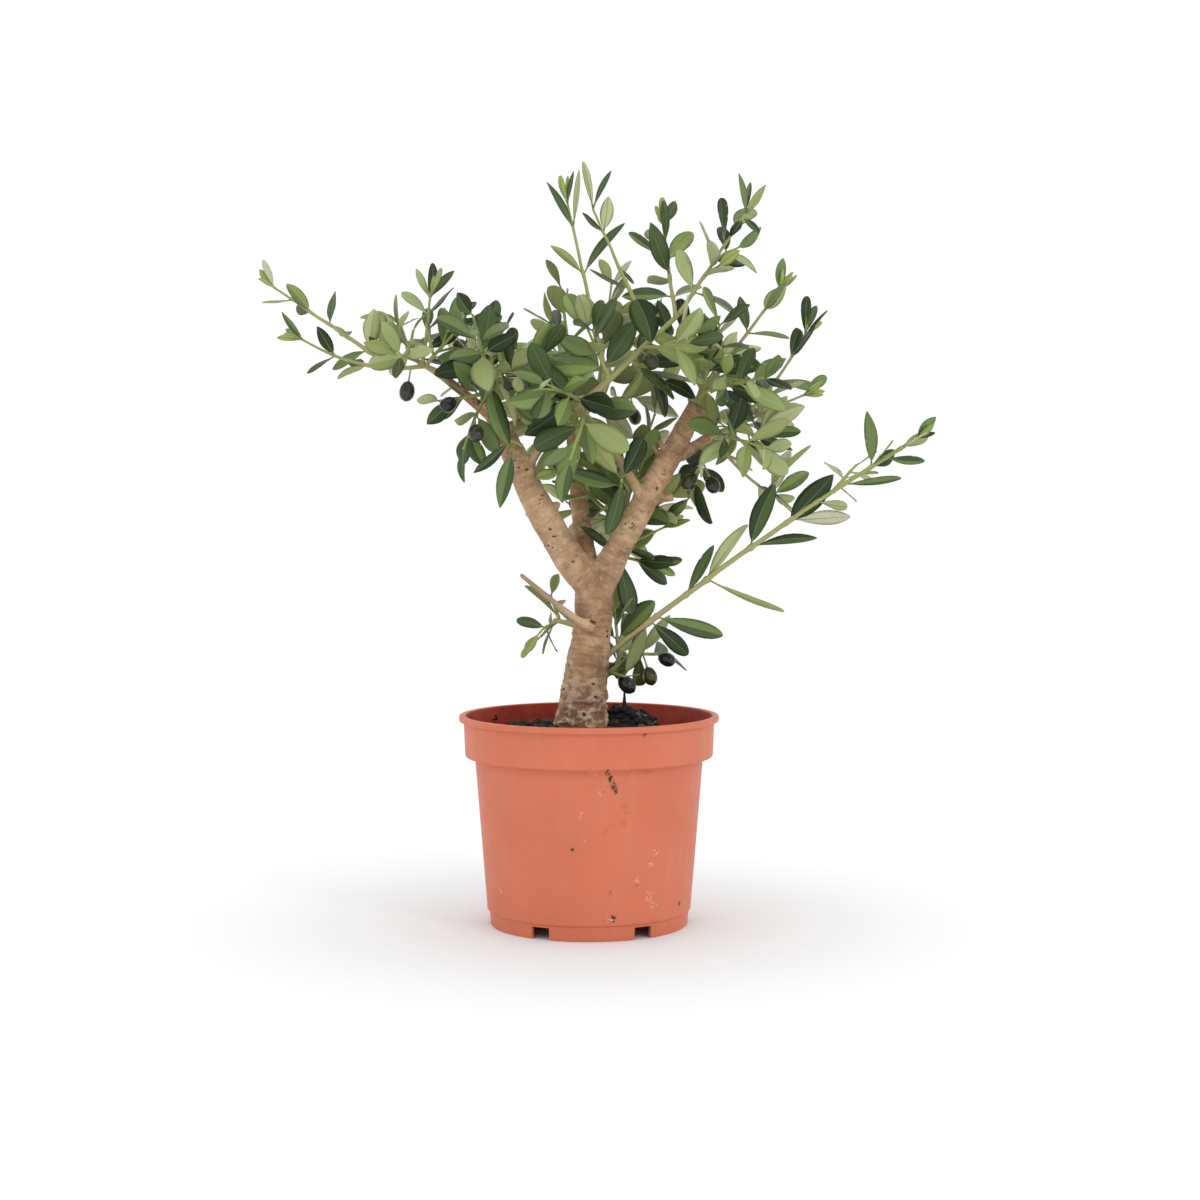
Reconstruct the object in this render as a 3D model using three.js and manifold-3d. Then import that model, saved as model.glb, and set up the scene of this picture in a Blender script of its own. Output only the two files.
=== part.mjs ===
// Olive bonsai in a plastic pot: soil, a forked trunk with pruned boughs, and leafy twigs with olives.
// Millimetres, +Z up, origin on the pot's axis at the level that it stands on. The front of the tree is -Y.
import * as THREE from 'three';
import { mergeVertices } from 'three/addons/utils/BufferGeometryUtils.js';
import Module from 'manifold-3d';

const wasm = await Module();
wasm.setup();

// Pot: a foot ring with slots, a tapering wall, a wide collar and a rolled lip
const POT_HEIGHT = 177.5;
const LIP_RADIUS = 110;
const LIP_HEIGHT = 5;
const COLLAR_RADIUS = 106;
const COLLAR_BOTTOM_RADIUS = 105;
const COLLAR_HEIGHT = 35;
const WALL_TOP_RADIUS = 96.6;
const WALL_BOTTOM_RADIUS = 86.4;
const WALL = 2;
const FOOT_RADIUS = 84;
const FOOT_HEIGHT = 12.5;
const FOOT_WALL = 3;
const FOOT_DRAFT = 0.6;
const COLLAR_EDGE = 2.2;
const EDGE = 1;
const FLOOR_BOTTOM = 11;
const FLOOR_TOP = 13.5;
const POT_SIDES = 32;
const SLOTS = 6;
const SLOT_WIDTH = 16;
const SLOT_HEIGHT = 10.4;
const SLOT_DEPTH = 20;
const SLOT_TURN = THREE.MathUtils.degToRad(2);
const DRAIN_RADIUS = 5;
const DRAIN_CIRCLE = 62;
const DRAIN_DEPTH = 20;
const DRAIN_SIDES = 8;

// Soil: level at the wall, mounded at the trunk, with one clod leaning on the trunk's right side
const SOIL_EDGE = 153;
const SOIL_SEAT = 165.7;
const SOIL_MOUND = 13;
const MOUND_WIDTH = 42;
const SEAT_MARGIN = 1.5;
const LUMP_HEIGHT = 1.1;
const SOIL_RINGS = 5;
const CLOD = { x: 37, y: 12, height: 17, radius: 25 };
const GAP = 0.3;

// Trunk and boughs: each a tapering limb on a cubic curve, from its foot to its tip
const GROUND = 166;
const LIMBS = {
  trunk: {
    path: [[-6.5, 0, GROUND], [-5, 0, 215], [9, 0, 255], [3, 2, 302]],
    radii: [22.5, 19.6, 18, 15.6, 16.8, 14],
    sides: 16, steps: 10, upright: true,
  },
  bough_left: {
    path: [[3, 0, 288], [-40, 0, 330], [-58, -6, 395], [-86, -12, 442]],
    radii: [15, 12.6, 10.6, 7.6],
    sides: 12, steps: 7, stubs: [
      { at: 0.35, turn: 268, length: 20, radius: 2.8 }, { at: 0.6, turn: 262, length: 25, radius: 2.4 },
    ],
  },
  bough_right: {
    path: [[8, 0, 286], [20, 0, 310], [60, 0, 380], [91.5, 0, 438.6]],
    radii: [14, 11.4, 10.4, 8],
    sides: 12, steps: 7,
    stubs: [
      { at: 0.55, turn: 262, length: 24, radius: 3.6 }, { at: 0.71, turn: 84, length: 21, radius: 2.4 },
      { at: 0.74, turn: 116, length: 20, radius: 2.2 },
    ],
  },
  bough_back: {
    path: [[1, 4, 292], [-6, 24, 330], [-11, 48, 372], [-14.5, 70, 418]],
    radii: [9, 8, 7.2, 6],
    sides: 10, steps: 5,
  },
  bough_left_arm: {
    path: [[-76, -10, 424], [-94, -8, 438], [-112, -4, 456], [-131, 0, 468]],
    radii: [5, 4.4, 3.8, 3.2],
    sides: 8, steps: 4,
  },
  bough_right_arm: {
    path: [[76, 2, 396], [86, 4, 401], [94, 6, 407], [101, 8, 412]],
    radii: [5.6, 5.2, 4.6, 4],
    sides: 8, steps: 3,
  },
  bough_centre: {
    path: [[46, -3, 358], [30, -14, 390], [8, -24, 415], [-10.5, -30, 437.6]],
    radii: [4.6, 3.9, 3.6, 3.6],
    sides: 8, steps: 5,
  },
  pruned_twig: {
    path: [[4, -11, 251], [-14, -24, 259], [-36, -25, 280], [-57, -26, 297]],
    radii: [4.6, 3.2, 2.5, 2],
    sides: 8, steps: 5,
  },
};

// A pruned side shoot leans along its limb at this angle and is wider at its root
const STUB_ANGLE = THREE.MathUtils.degToRad(53);
const STUB_FLARE = 1.3;
const STUB_SIDES = 7;

// The crown keeps inside this box, which is centred on the pot
const REACH = { side: 286, depth: 147, top: 643, bottom: 192 };

// Twigs: a stem's radius is a share of its limb's, and a shoot's grows with its length
const STEM_RADIUS = 2.8;
const STEM_SHARE = 0.8;
const STEM_TAPER = 0.62;
const STEM_SUNK = 3;
const STEM_BARE = 0.86;
const SHOOT_RADIUS = 1.5;
const SHOOT_GAIN = 0.004;
const SHOOT_TIP = 0.9;
const SHOOT_BARE = 0.22;
const TWIG_CLEAR = 1.1;
const TWIG_SIDES = 3;
const TWIG_STEP = 36;
const LIMB_CLEAR = 1.6;
const LIMB_PROBE = 4;

// Leaves: each pair of values runs from the foot of a twig to its tip, or from least to greatest
const LEAF_SPREAD = [64, 26];
const LEAF_SWAY = 18;
const LEAF_SWING = 0.9;
const LEAF_TWIST = 1.1;
const LEAF_FOLD = 0.6;
const LEAF_LIGHT = { front: 0.7, lift: 0.35 };
const LEAF_SIZES = [1, 0.72];
const LEAF_LENGTHS = [0.84, 1.16];
const LEAF_WIDTHS = [0.86, 1.14];
const LEAF_CURLS = [-0.04, 0.16];
const LEAF_TURNS = [0, 0.6, -0.6, 1.2, -1.2];
const LEAF_THICKNESS = 1.2;
const LEAF_CLEAR = 2.1;
const LEAF_LOSS = 0.1;
const SLIM = 0.34;
const SLIM_LIGHT = 1.4;

// Leaves behind this turn to the back, and the others to the front
const BACK_HALF = 40;

// A large leaf turns to the front and a little upwards
const BLADE = { front: 0.85, up: 0.5, curl: 0.05 };

const OLIVE = { length: 18, width: 13.5, sides: 6, rings: 4 };
const STALK_RADII = [1, 0.8];

// Points nearer than the weld are one, and edges shorter than the least edge are closed up
const WELD = 1e-4;
const LEAST_EDGE = 0.08;

const vector = (p) => new THREE.Vector3(...p);
const lerp = THREE.MathUtils.lerp;
const rad = THREE.MathUtils.degToRad;
const UP = new THREE.Vector3(0, 0, 1);

// A number from 0 to 1 that is always the same for the same keys
const HASH = { start: 2166136261, first: 16777619, second: 739982445, range: 4294967296 };
function chance(...keys) {
  let h = HASH.start;
  for (const key of keys) {
    h = Math.imul(h ^ key, HASH.first) >>> 0;
    h = Math.imul(h ^ (h >>> 15), HASH.second) >>> 0;
    h = (h ^ (h >>> 12)) >>> 0;
  }
  return h / HASH.range;
}

const between = ([least, greatest], t) => lerp(least, greatest, t);

// The value at t, from 0 to 1, on a smooth line through evenly spaced values
function along(values, t) {
  const place = t * (values.length - 1);
  const i = Math.min(values.length - 2, Math.floor(place));
  const f = place - i;
  return lerp(values[i], values[i + 1], f * f * (3 - 2 * f));
}

// A closed geometry as a solid that can be joined and cut
function solidOf(geometry) {
  const bare = new THREE.BufferGeometry().setAttribute('position', geometry.attributes.position);
  if (geometry.index) bare.setIndex(geometry.index);
  const merged = mergeVertices(bare, WELD);
  return new wasm.Manifold(new wasm.Mesh({
    numProp: 3,
    vertProperties: merged.attributes.position.array,
    triVerts: new Uint32Array(merged.index.array),
  }));
}

function geometryOf(solid) {
  const mesh = solid.getMesh();
  return new THREE.BufferGeometry()
    .setAttribute('position', new THREE.BufferAttribute(mesh.vertProperties, 3))
    .setIndex(new THREE.BufferAttribute(mesh.triVerts, 1));
}

// The largest body of a solid, without the scraps that a cut leaves
function largest(solid) {
  return solid.decompose().reduce((best, body) => (body.volume() > best.volume() ? body : best));
}

// A vector at right angles to a direction
function across(direction) {
  const other = Math.abs(direction.y) < 0.8 ? new THREE.Vector3(0, 1, 0) : new THREE.Vector3(1, 0, 0);
  return other.addScaledVector(direction, -other.dot(direction)).normalize();
}

// A tapering limb: a cylinder bent along a path. It grows outwards and past both ends by grow.
function limbGeometry({ path, radii, sides, steps, upright = false }, grow = 0) {
  const shape = new THREE.CylinderGeometry(1, 1, 1, sides, steps);
  const place = shape.attributes.position;
  const first = across(path.getPoint(1).sub(path.getPoint(0)).normalize());
  for (let i = 0; i < place.count; i++) {
    const t = place.getY(i) + 0.5;
    const direction = path.getTangent(t);
    if (upright && t === 0) direction.copy(UP);
    const u = first.clone().addScaledVector(direction, -first.dot(direction)).normalize();
    const w = u.clone().cross(direction);
    const r = along(radii, t) + grow;
    const p = path.getPoint(t).addScaledVector(u, r * place.getX(i)).addScaledVector(w, r * place.getZ(i));
    if (t === 0) p.addScaledVector(direction, -grow);
    if (t === 1) p.addScaledVector(direction, grow);
    place.setXYZ(i, p.x, p.y, p.z);
  }
  return shape;
}

const curveOf = (points) => new THREE.CubicBezierCurve3(...points.map(vector));

// The line of a pruned side shoot, from the middle of its limb to its cut end
function stubPath(path, { at, turn, length }) {
  const root = path.getPoint(at);
  const direction = path.getTangent(at);
  const out = across(direction).applyAxisAngle(direction, rad(turn)).multiplyScalar(Math.sin(STUB_ANGLE));
  out.addScaledVector(direction, Math.cos(STUB_ANGLE));
  return new THREE.LineCurve3(root, root.clone().addScaledVector(out, length));
}

function stub(limb, spec) {
  const radii = [spec.radius * STUB_FLARE, spec.radius];
  return limbGeometry({ path: stubPath(limb.path, spec), radii, sides: STUB_SIDES, steps: 1 });
}

// Every limb, each cut clear of those before it
function limbs() {
  const made = new Map();
  for (const [name, spec] of Object.entries(LIMBS)) {
    const limb = { ...spec, path: curveOf(spec.path) };
    let solid = solidOf(limbGeometry(limb));
    for (const s of spec.stubs ?? []) solid = solid.add(solidOf(stub(limb, s)));
    for (const earlier of made.values()) solid = solid.subtract(solidOf(limbGeometry(earlier, GAP)));
    made.set(name, { ...limb, solid: largest(solid) });
  }
  return made;
}

function pot() {
  const inner = (radius) => radius - WALL;
  const collarBottom = POT_HEIGHT - COLLAR_HEIGHT;
  const lipBottom = POT_HEIGHT - LIP_HEIGHT;
  const profile = [
    [0, FLOOR_BOTTOM], [FOOT_RADIUS - FOOT_WALL, FLOOR_BOTTOM],
    [FOOT_RADIUS - FOOT_WALL, 0], [FOOT_RADIUS - FOOT_DRAFT, 0],
    [FOOT_RADIUS + FOOT_DRAFT, FOOT_HEIGHT], [WALL_BOTTOM_RADIUS, FOOT_HEIGHT + FOOT_DRAFT],
    [WALL_TOP_RADIUS, collarBottom], [COLLAR_BOTTOM_RADIUS - COLLAR_EDGE, collarBottom],
    [COLLAR_BOTTOM_RADIUS, collarBottom + COLLAR_EDGE], [COLLAR_RADIUS, lipBottom],
    [LIP_RADIUS - EDGE, lipBottom], [LIP_RADIUS, lipBottom + EDGE], [LIP_RADIUS, POT_HEIGHT - EDGE],
    [LIP_RADIUS - EDGE, POT_HEIGHT], [inner(COLLAR_RADIUS) + EDGE, POT_HEIGHT],
    [inner(COLLAR_RADIUS), POT_HEIGHT - 2 * EDGE], [inner(COLLAR_BOTTOM_RADIUS), collarBottom + WALL],
    [inner(WALL_TOP_RADIUS), collarBottom + WALL - EDGE], [inner(WALL_BOTTOM_RADIUS), FLOOR_TOP],
    [0, FLOOR_TOP],
  ].map(([r, z]) => new THREE.Vector2(r, z));
  let solid = solidOf(new THREE.LatheGeometry(profile, POT_SIDES).rotateX(Math.PI / 2));
  for (let i = 0; i < SLOTS; i++) {
    const turn = SLOT_TURN + (i * 2 * Math.PI) / SLOTS;
    const slot = new THREE.BoxGeometry(SLOT_DEPTH, SLOT_WIDTH, 2 * SLOT_HEIGHT)
      .translate(FOOT_RADIUS, 0, 0).rotateZ(turn);
    const drain = new THREE.CylinderGeometry(DRAIN_RADIUS, DRAIN_RADIUS, DRAIN_DEPTH, DRAIN_SIDES)
      .rotateX(Math.PI / 2).translate(DRAIN_CIRCLE, 0, FLOOR_TOP).rotateZ(turn);
    solid = solid.subtract(solidOf(slot)).subtract(solidOf(drain));
  }
  return solid;
}

// Height of the soil: a flat seat under the trunk, a mound round it, a clod and small lumps
function soilHeight(x, y) {
  const [trunkX, trunkY] = LIMBS.trunk.path[0];
  const fromTrunk = Math.hypot(x - trunkX, y - trunkY);
  if (fromTrunk < LIMBS.trunk.radii[0] + SEAT_MARGIN) return SOIL_SEAT;
  const mound = SOIL_MOUND * Math.exp(-(((fromTrunk - LIMBS.trunk.radii[0]) / MOUND_WIDTH) ** 2));
  const fromClod = Math.hypot(x - CLOD.x, y - CLOD.y) / CLOD.radius;
  const clod = CLOD.height * Math.exp(-(fromClod ** 4));
  const lumps = LUMP_HEIGHT * Math.sin(x * 0.21 + 1) * Math.sin(y * 0.19 + x * 0.05);
  return SOIL_EDGE + mound + clod + lumps;
}

function soil(trunk) {
  const gap = 2 * GAP;
  const ledge = POT_HEIGHT - COLLAR_HEIGHT + WALL + gap;
  const rim = COLLAR_BOTTOM_RADIUS - WALL - gap;
  const profile = [
    [0, FLOOR_TOP + GAP], [WALL_BOTTOM_RADIUS - WALL - gap, FLOOR_TOP + GAP],
    [WALL_TOP_RADIUS - WALL - gap, ledge - EDGE], [rim, ledge],
  ];
  for (let i = 0; i < SOIL_RINGS; i++) profile.push([rim * (1 - i / SOIL_RINGS), SOIL_EDGE]);
  profile.push([0, SOIL_EDGE]);
  const outline = profile.map(([r, z]) => new THREE.Vector2(r, z));
  const shape = new THREE.LatheGeometry(outline, POT_SIDES).rotateX(Math.PI / 2);
  const place = shape.attributes.position;
  for (let i = 0; i < place.count; i++) {
    const x = place.getX(i);
    const y = place.getY(i);
    if (place.getZ(i) < SOIL_EDGE || Math.hypot(x, y) > rim - EDGE) continue;
    place.setZ(i, soilHeight(x, y));
  }
  return solidOf(shape).subtract(solidOf(limbGeometry(trunk, GAP)));
}

// Foliage. Each mass has one stem, which meets the limb named, and shoots on the stem or an earlier shoot.
// on is the shoot's parent, 0 for the stem, and at is how far along it. reach runs from its foot to its tip.
// Its leaves are dealt out from its own seed. A slim shoot is a long outer one with narrow leaves.
const shoot = (on, at, reach, pairs, leaf, seed, more = {}) =>
  ({ on, at, reach, pairs, leaf, seed, bow: 0, slim: false, ...more });
const bareStem = (reach) => shoot(0, 0, reach, 0, 0, 0);

// A single large leaf that shows from the front. shows is 1 for its upper side and -1 for its underside.
const blade = (on, at, reach, width, shows = 1) => ({ on, at, reach, width, shows });

// An olive on its stalk. hang runs from the twig to the olive's middle.
const olive = (on, at, hang) => ({ on, at, hang });

const MASSES = {
  foliage_left_reach: {
    limb: 'bough_left_arm', width: 0.42,
    stem: bareStem([-25, 5, 15]),
    shoots: [
      shoot(0, 0.35, [-104, 8, 22], 3, 38, 20, { bow: -10, slim: true }),
      shoot(1, 0.26, [-106, 38, 71], 5, 38, 109, { slim: true }),
      shoot(0, 0.45, [7, -9, 54], 3, 38, 60, { slim: true }),
      shoot(0, 0.35, [30, -14, 32], 3, 44, 40),
      shoot(0, 0.9, [-12, 56, 30], 3, 40, 30),
      shoot(0, 0.6, [-16, -46, 4], 3, 40, 74),
      shoot(0, 0.98, [6, -8, 20], 1, 30, 128),
    ],
    blades: [blade(2, 0.2, [5, -6, 36], 15, -1), blade(2, 0.02, [-1, -8, 38], 17, -1)],
    fruit: [olive(1, 0.12, [-3, -4, -20])],
  },
  foliage_left_crown: {
    limb: 'bough_left', width: 0.42,
    stem: bareStem([2, -3, 24]),
    shoots: [
      shoot(0, 0.7, [5, 2, 42], 3, 42, 68),
      shoot(0, 0.9, [44, -30, 14], 4, 48, 32),
      shoot(0, 0.35, [-40, -15, -7], 3, 34, 69),
      shoot(0, 0.3, [-20, -15, -46], 3, 36, 92, { bow: 5 }),
      shoot(0, 0.5, [-34, 58, 26], 3, 44, 85),
      shoot(0, 0.8, [28, 46, 8], 3, 44, 10),
      shoot(0, 0.8, [-8, -98, 46], 4, 44, 134),
      shoot(0, 0.5, [20, -26, -52], 0, 0, 0, { bow: 9 }),
      shoot(0, 0.95, [-26, -10, 30], 3, 40, 100),
    ],
    blades: [
      blade(8, 1, [-16, -8, 50], 17), blade(8, 1, [-10, -5, -47], 14), blade(8, 0.9, [-30, -5, -26], 9),
    ],
    fruit: [
      olive(3, 0.6, [-8, -13, -6]), olive(3, 0.1, [-4, -18, 10]), olive(9, 0.6, [-8, 6, 6]),
      olive(4, 0.55, [2, -18, -12]),
    ],
  },
  foliage_centre: {
    limb: 'bough_centre', width: 0.42, radius: 3.1,
    stem: bareStem([86, 10, 80]),
    shoots: [
      shoot(0, 0.97, [56, 10, 84], 5, 42, 35),
      shoot(0, 0.94, [-10, 24, 78], 4, 44, 26, { slim: true }),
      shoot(0, 0.71, [-49, 15, 109], 0, 0, 0, { slim: true }),
      shoot(0, 0.28, [-33, 7, 146], 0, 0, 0, { slim: true }),
      shoot(0, 0.06, [-30, -52, 12], 4, 48, 61),
      shoot(0, 0.12, [-16, -80, -54], 4, 46, 8),
      shoot(0, 0.3, [-18, -14, 40], 3, 46, 103),
      shoot(0, 0.62, [34, -48, 0], 3, 46, 1),
      shoot(0, 0.5, [26, 30, -16], 3, 46, 9),
    ],
    blades: [
      blade(0, 0.03, [-40, -26, 38], 22), blade(2, 0.45, [-16, -18, 42], 18),
      blade(1, 1, [-6, -4, 33], 6), blade(1, 1, [4, 3, 27], 5), blade(1, 1, [16, -3, 24], 8, -1),
      blade(1, 0.96, [13, -6, -13], 8), blade(1, 0.95, [-10, -8, -15], 9),
      blade(3, 1, [-8, -5, 39], 6.5, -1), blade(3, 1, [15, 3, 33], 5),
      blade(3, 0.82, [4, 4, 30], 11.7, -1), blade(3, 0.82, [-17, -6, 16], 7.3),
      blade(3, 0.55, [13, 6, -13], 3.6), blade(3, 0.39, [-32, -8, 16], 5.6),
      blade(4, 1, [-6, -5, 23], 6, -1), blade(4, 1, [0, 3, 24], 5), blade(4, 1, [5, -3, 27], 4),
      blade(4, 0.86, [-21, -6, 38], 8), blade(4, 0.86, [5, -4, 48], 5, -1),
      blade(4, 0.6, [-27, -6, 24], 8, -1), blade(4, 0.6, [35, 34, 49], 7.6),
    ],
    fruit: [olive(0, 0.6, [8, -10, -10])],
  },
  foliage_back: {
    limb: 'bough_back', width: 0.4,
    stem: bareStem([22, -5, 36]),
    shoots: [
      shoot(0, 0.15, [-13, -16, 120], 4, 42, 2),
      shoot(0, 0.98, [12, 20, 96], 4, 40, 89),
      shoot(0, 0.5, [-70, 34, 26], 4, 46, 114),
      shoot(0, 0.6, [62, 42, 22], 4, 46, 21),
      shoot(0, 0.4, [-8, 60, 8], 3, 46, 31),
      shoot(0, 0.8, [-42, 44, 58], 3, 44, 59),
      shoot(0, 0.9, [44, 36, 64], 3, 44, 55),
      shoot(0, 0.1, [-38, -16, 8], 3, 46, 131),
      shoot(0, 0.3, [-40, 14, -34], 2, 46, 51, { bow: 10 }),
    ],
    blades: [],
    fruit: [olive(4, 0.6, [4, 8, -18]), olive(5, 0.5, [-4, 10, -18])],
  },
  foliage_inner: {
    limb: 'trunk', width: 0.42, foot: [11.5, 13.5, 283], radius: 2.6,
    stem: bareStem([15, 34, 63]),
    shoots: [
      shoot(0, 0.9, [20, -22, 48], 3, 46, 139),
      shoot(0, 0.8, [44, 6, 26], 3, 46, 107),
      shoot(0, 0.95, [-12, -14, 46], 3, 48, 88),
      shoot(0, 0.7, [14, 52, 22], 3, 46, 144),
      shoot(0, 0.45, [34, -2, -6], 2, 46, 82, { slim: true }),
      shoot(0, 0.85, [3, -64, 40], 0, 0, 0),
      shoot(0, 0.9, [-44, 34, 16], 3, 44, 29),
      shoot(0, 0.9, [-48, -28, 45], 3, 46, 110),
      shoot(0, 0.95, [31, 0, 90], 4, 44, 101),
      shoot(0, 0.5, [44, 2, 20], 1, 40, 86, { slim: true }),
    ],
    blades: [
      blade(6, 1, [-38, -14, 46], 23, -1), blade(6, 0.95, [-12, -8, -44], 14),
      blade(6, 0.85, [-46, -4, 14], 15), blade(6, 1, [17, -6, 34], 16),
      blade(0, 0.57, [-26, -36, 18], 16),
    ],
    fruit: [],
  },
  foliage_right_crown: {
    limb: 'bough_right', width: 0.4,
    stem: bareStem([7, 8, 24]),
    shoots: [
      shoot(0, 0.3, [67, -6, 91], 4, 40, 120, { slim: true }),
      shoot(0, 0.9, [12, -30, 46], 4, 44, 112),
      shoot(0, 0.5, [22, 60, 34], 4, 44, 42),
      shoot(0, 0.9, [-16, -12, 36], 3, 42, 94),
      shoot(0, 0.6, [48, -70, 8], 4, 44, 18),
      shoot(0, 0.7, [-24, 32, 44], 3, 44, 137),
    ],
    blades: [],
    fruit: [],
  },
  foliage_right: {
    limb: 'bough_right_arm', width: 0.4,
    stem: bareStem([27, 5, 12]),
    shoots: [
      shoot(0, 0.8, [63, 7, 79], 4, 42, 76, { bow: -8, slim: true }),
      shoot(0, 0.95, [20, -5, -10], 0, 0, 0),
      shoot(0, 0.25, [51, 14, -50], 3, 42, 116, { bow: -6 }),
      shoot(0, 0.95, [58, 10, 26], 2, 44, 43, { slim: true }),
      shoot(0, 0.5, [40, 88, 10], 4, 46, 132),
      shoot(0, 0.4, [34, -76, -14], 4, 46, 119),
      shoot(0, 0.15, [-17, 6, -51], 3, 42, 17),
    ],
    blades: [
      blade(2, 1, [22, -6, 35], 17, -1), blade(2, 1, [37, -10, 27], 18, -1),
      blade(2, 0.95, [34, -14, 5], 11), blade(2, 0.9, [-26, -12, 14], 14, -1),
      blade(2, 0.8, [30, -20, -12], 12), blade(3, 1, [31, 4, 20], 17), blade(3, 1, [14, -6, 38], 15, -1),
      blade(3, 0.9, [36, -12, 40], 7, -1),
    ],
    fruit: [olive(7, 0.5, [-9, -4, -12]), olive(7, 0.4, [8, -16, -20]), olive(5, 0.6, [6, 10, -18])],
  },
  foliage_low_right: {
    limb: 'trunk', width: 0.33, foot: [13.5, 3, 226], radius: 2.5,
    stem: shoot(0, 0, [255, -49, 183], 3, 40, 65, { bow: 6, slim: true }),
    shoots: [
      shoot(0, 0.74, [22, 26, 22], 3, 36, 4),
    ],
    blades: [
      blade(0, 0.17, [56, -8, -14], 15), blade(0, 0.15, [32, -8, -27], 14),
      blade(0, 0.14, [-19, -12, -40], 15, -1), blade(0, 0.265, [23, -6, 42], 11),
      blade(0, 0.33, [35, 6, 47], 14, -1), blade(0, 0.335, [65, -14, -25], 8, -1),
      blade(0, 0.475, [19, -8, 53], 16), blade(0, 0.48, [53, -14, 9], 9),
      blade(0, 0.59, [38, -6, 41], 20), blade(0, 0.605, [49, -10, 4], 13, -1),
      blade(0, 0.69, [24, -16, -3], 9, -1), blade(0, 0.775, [46, -8, 6], 9),
      blade(0, 0.86, [-4, -4, 46], 11),
    ],
    fruit: [],
  },
  foliage_base_right: {
    limb: 'trunk', width: 0.38, foot: [11, 7, 208],
    stem: bareStem([30, 8, 21]),
    shoots: [
      shoot(0, 0.5, [-4, 6, 44], 3, 44, 99),
      shoot(0, 0.9, [26, 12, 0], 2, 44, 129),
      shoot(0, 0.4, [8, 40, 18], 3, 42, 70),
      shoot(0, 0.2, [14, -18, -2], 1, 34, 146),
    ],
    blades: [],
    fruit: [
      olive(0, 0.9, [4, 8, 12]), olive(2, 0.7, [10, -6, -4]), olive(0, 0.3, [12, -4, -12]),
      olive(2, 0.3, [6, -6, -18]),
    ],
  },
  foliage_base_left: {
    limb: 'trunk', width: 0.34, foot: [-6, 7, 251],
    stem: bareStem([-24, 16, 5]),
    shoots: [
      shoot(0, 0.9, [-14, 8, -14], 2, 32, 75),
      shoot(0, 0.8, [-8, 34, 20], 3, 38, 48),
    ],
    blades: [],
    fruit: [],
  },
};

// Points that growth keeps clear of, each with a radius and the twig that owns it
const LEAF_OWNER = -1;
const LIMB_OWNER = -2;
const taken = [];
const take = (point, radius, owner) => taken.push({ point, radius, owner });
const touches = (o, p, radius) => o.point.distanceTo(p) < o.radius + radius;
const hits = (p, radius, own) => taken.some((o) => o.owner !== own && touches(o, p, radius));

function outside({ x, y, z }) {
  return Math.abs(x) > REACH.side || Math.abs(y) > REACH.depth || z > REACH.top || z < REACH.bottom;
}

// A twig's path: a quadratic curve whose middle is lifted by bow
function twigPath(foot, reach, bow) {
  const tip = foot.clone().add(reach);
  const middle = foot.clone().lerp(tip, 0.5).addScaledVector(UP, 2 * bow);
  return new THREE.QuadraticBezierCurve3(foot, middle, tip);
}

// Directions at a node of a twig: along it, and outwards at an angle round it
function nodeFrame(path, t, angle) {
  const axis = path.getTangent(t);
  const u = UP.clone().addScaledVector(axis, -UP.dot(axis));
  if (u.lengthSq() < 0.02) u.set(1, 0, 0).addScaledVector(axis, -axis.x);
  u.normalize();
  const w = axis.clone().cross(u);
  return { axis, out: u.multiplyScalar(Math.cos(angle)).addScaledVector(w, Math.sin(angle)) };
}

// One leaf at a node: its blade leaves the twig at an angle and turns its upper side to the light
function leafAt(twig, t, angle, key, size) {
  const { axis, out } = nodeFrame(twig.path, t, angle);
  const spread = rad(between(LEAF_SPREAD, t * t) + LEAF_SWAY * (chance(key, 1) - 0.5));
  const direction = axis.clone().multiplyScalar(Math.cos(spread)).addScaledVector(out, Math.sin(spread));
  const inward = axis.clone().multiplyScalar(Math.sin(spread)).addScaledVector(out, -Math.cos(spread));
  const root = twig.path.getPoint(t);
  const front = LEAF_LIGHT.front * (twig.slim ? SLIM_LIGHT : 1) * (root.y > BACK_HALF ? 1 : -1);
  const normal = inward.multiplyScalar(LEAF_FOLD).add(vector([0, front, LEAF_LIGHT.lift]));
  normal.addScaledVector(direction, -normal.dot(direction)).normalize();
  normal.applyAxisAngle(direction, LEAF_TWIST * (chance(key, 2) - 0.5));
  const length = size * between(LEAF_SIZES, t * t) * between(LEAF_LENGTHS, chance(key, 3));
  const width = length * twig.width * between(LEAF_WIDTHS, chance(key, 4));
  return {
    root, direction, normal, length, width,
    side: normal.clone().cross(direction), curl: between(LEAF_CURLS, chance(key, 5)),
  };
}

// A large leaf set by hand: it reaches from its twig and turns one side to the front
function bladeAt(twig, { at, reach, width, shows }) {
  const direction = vector(reach);
  const length = direction.length();
  direction.normalize();
  const normal = new THREE.Vector3(0, -BLADE.front * shows, BLADE.up);
  normal.addScaledVector(direction, -normal.dot(direction)).normalize();
  const side = normal.clone().cross(direction);
  return { root: twig.path.getPoint(at), direction, normal, side, length, width, curl: BLADE.curl };
}

// A point on a leaf: a along it from 0 to 1, b across it from -1 to 1, c up through its thickness
function onLeaf({ root, direction, normal, side, length, width, curl }, a, b, c = 0) {
  return root.clone().addScaledVector(direction, a * length).addScaledVector(side, (b * width) / 2)
    .addScaledVector(normal, c * LEAF_THICKNESS - curl * length * a * a);
}

const LEAF_PROBES = [0.2, 0.35, 0.5, 0.65, 0.8, 0.92, 1].map((a) => [a, 0])
  .concat([0.3, 0.45, 0.6, 0.75].flatMap((a) => [[a, -0.9], [a, 0.9]]));

function leafIsClear(leaf, twig) {
  return LEAF_PROBES.map(([a, b]) => onLeaf(leaf, a, b))
    .every((p) => !outside(p) && !hits(p, LEAF_CLEAR, twig.id));
}

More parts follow.
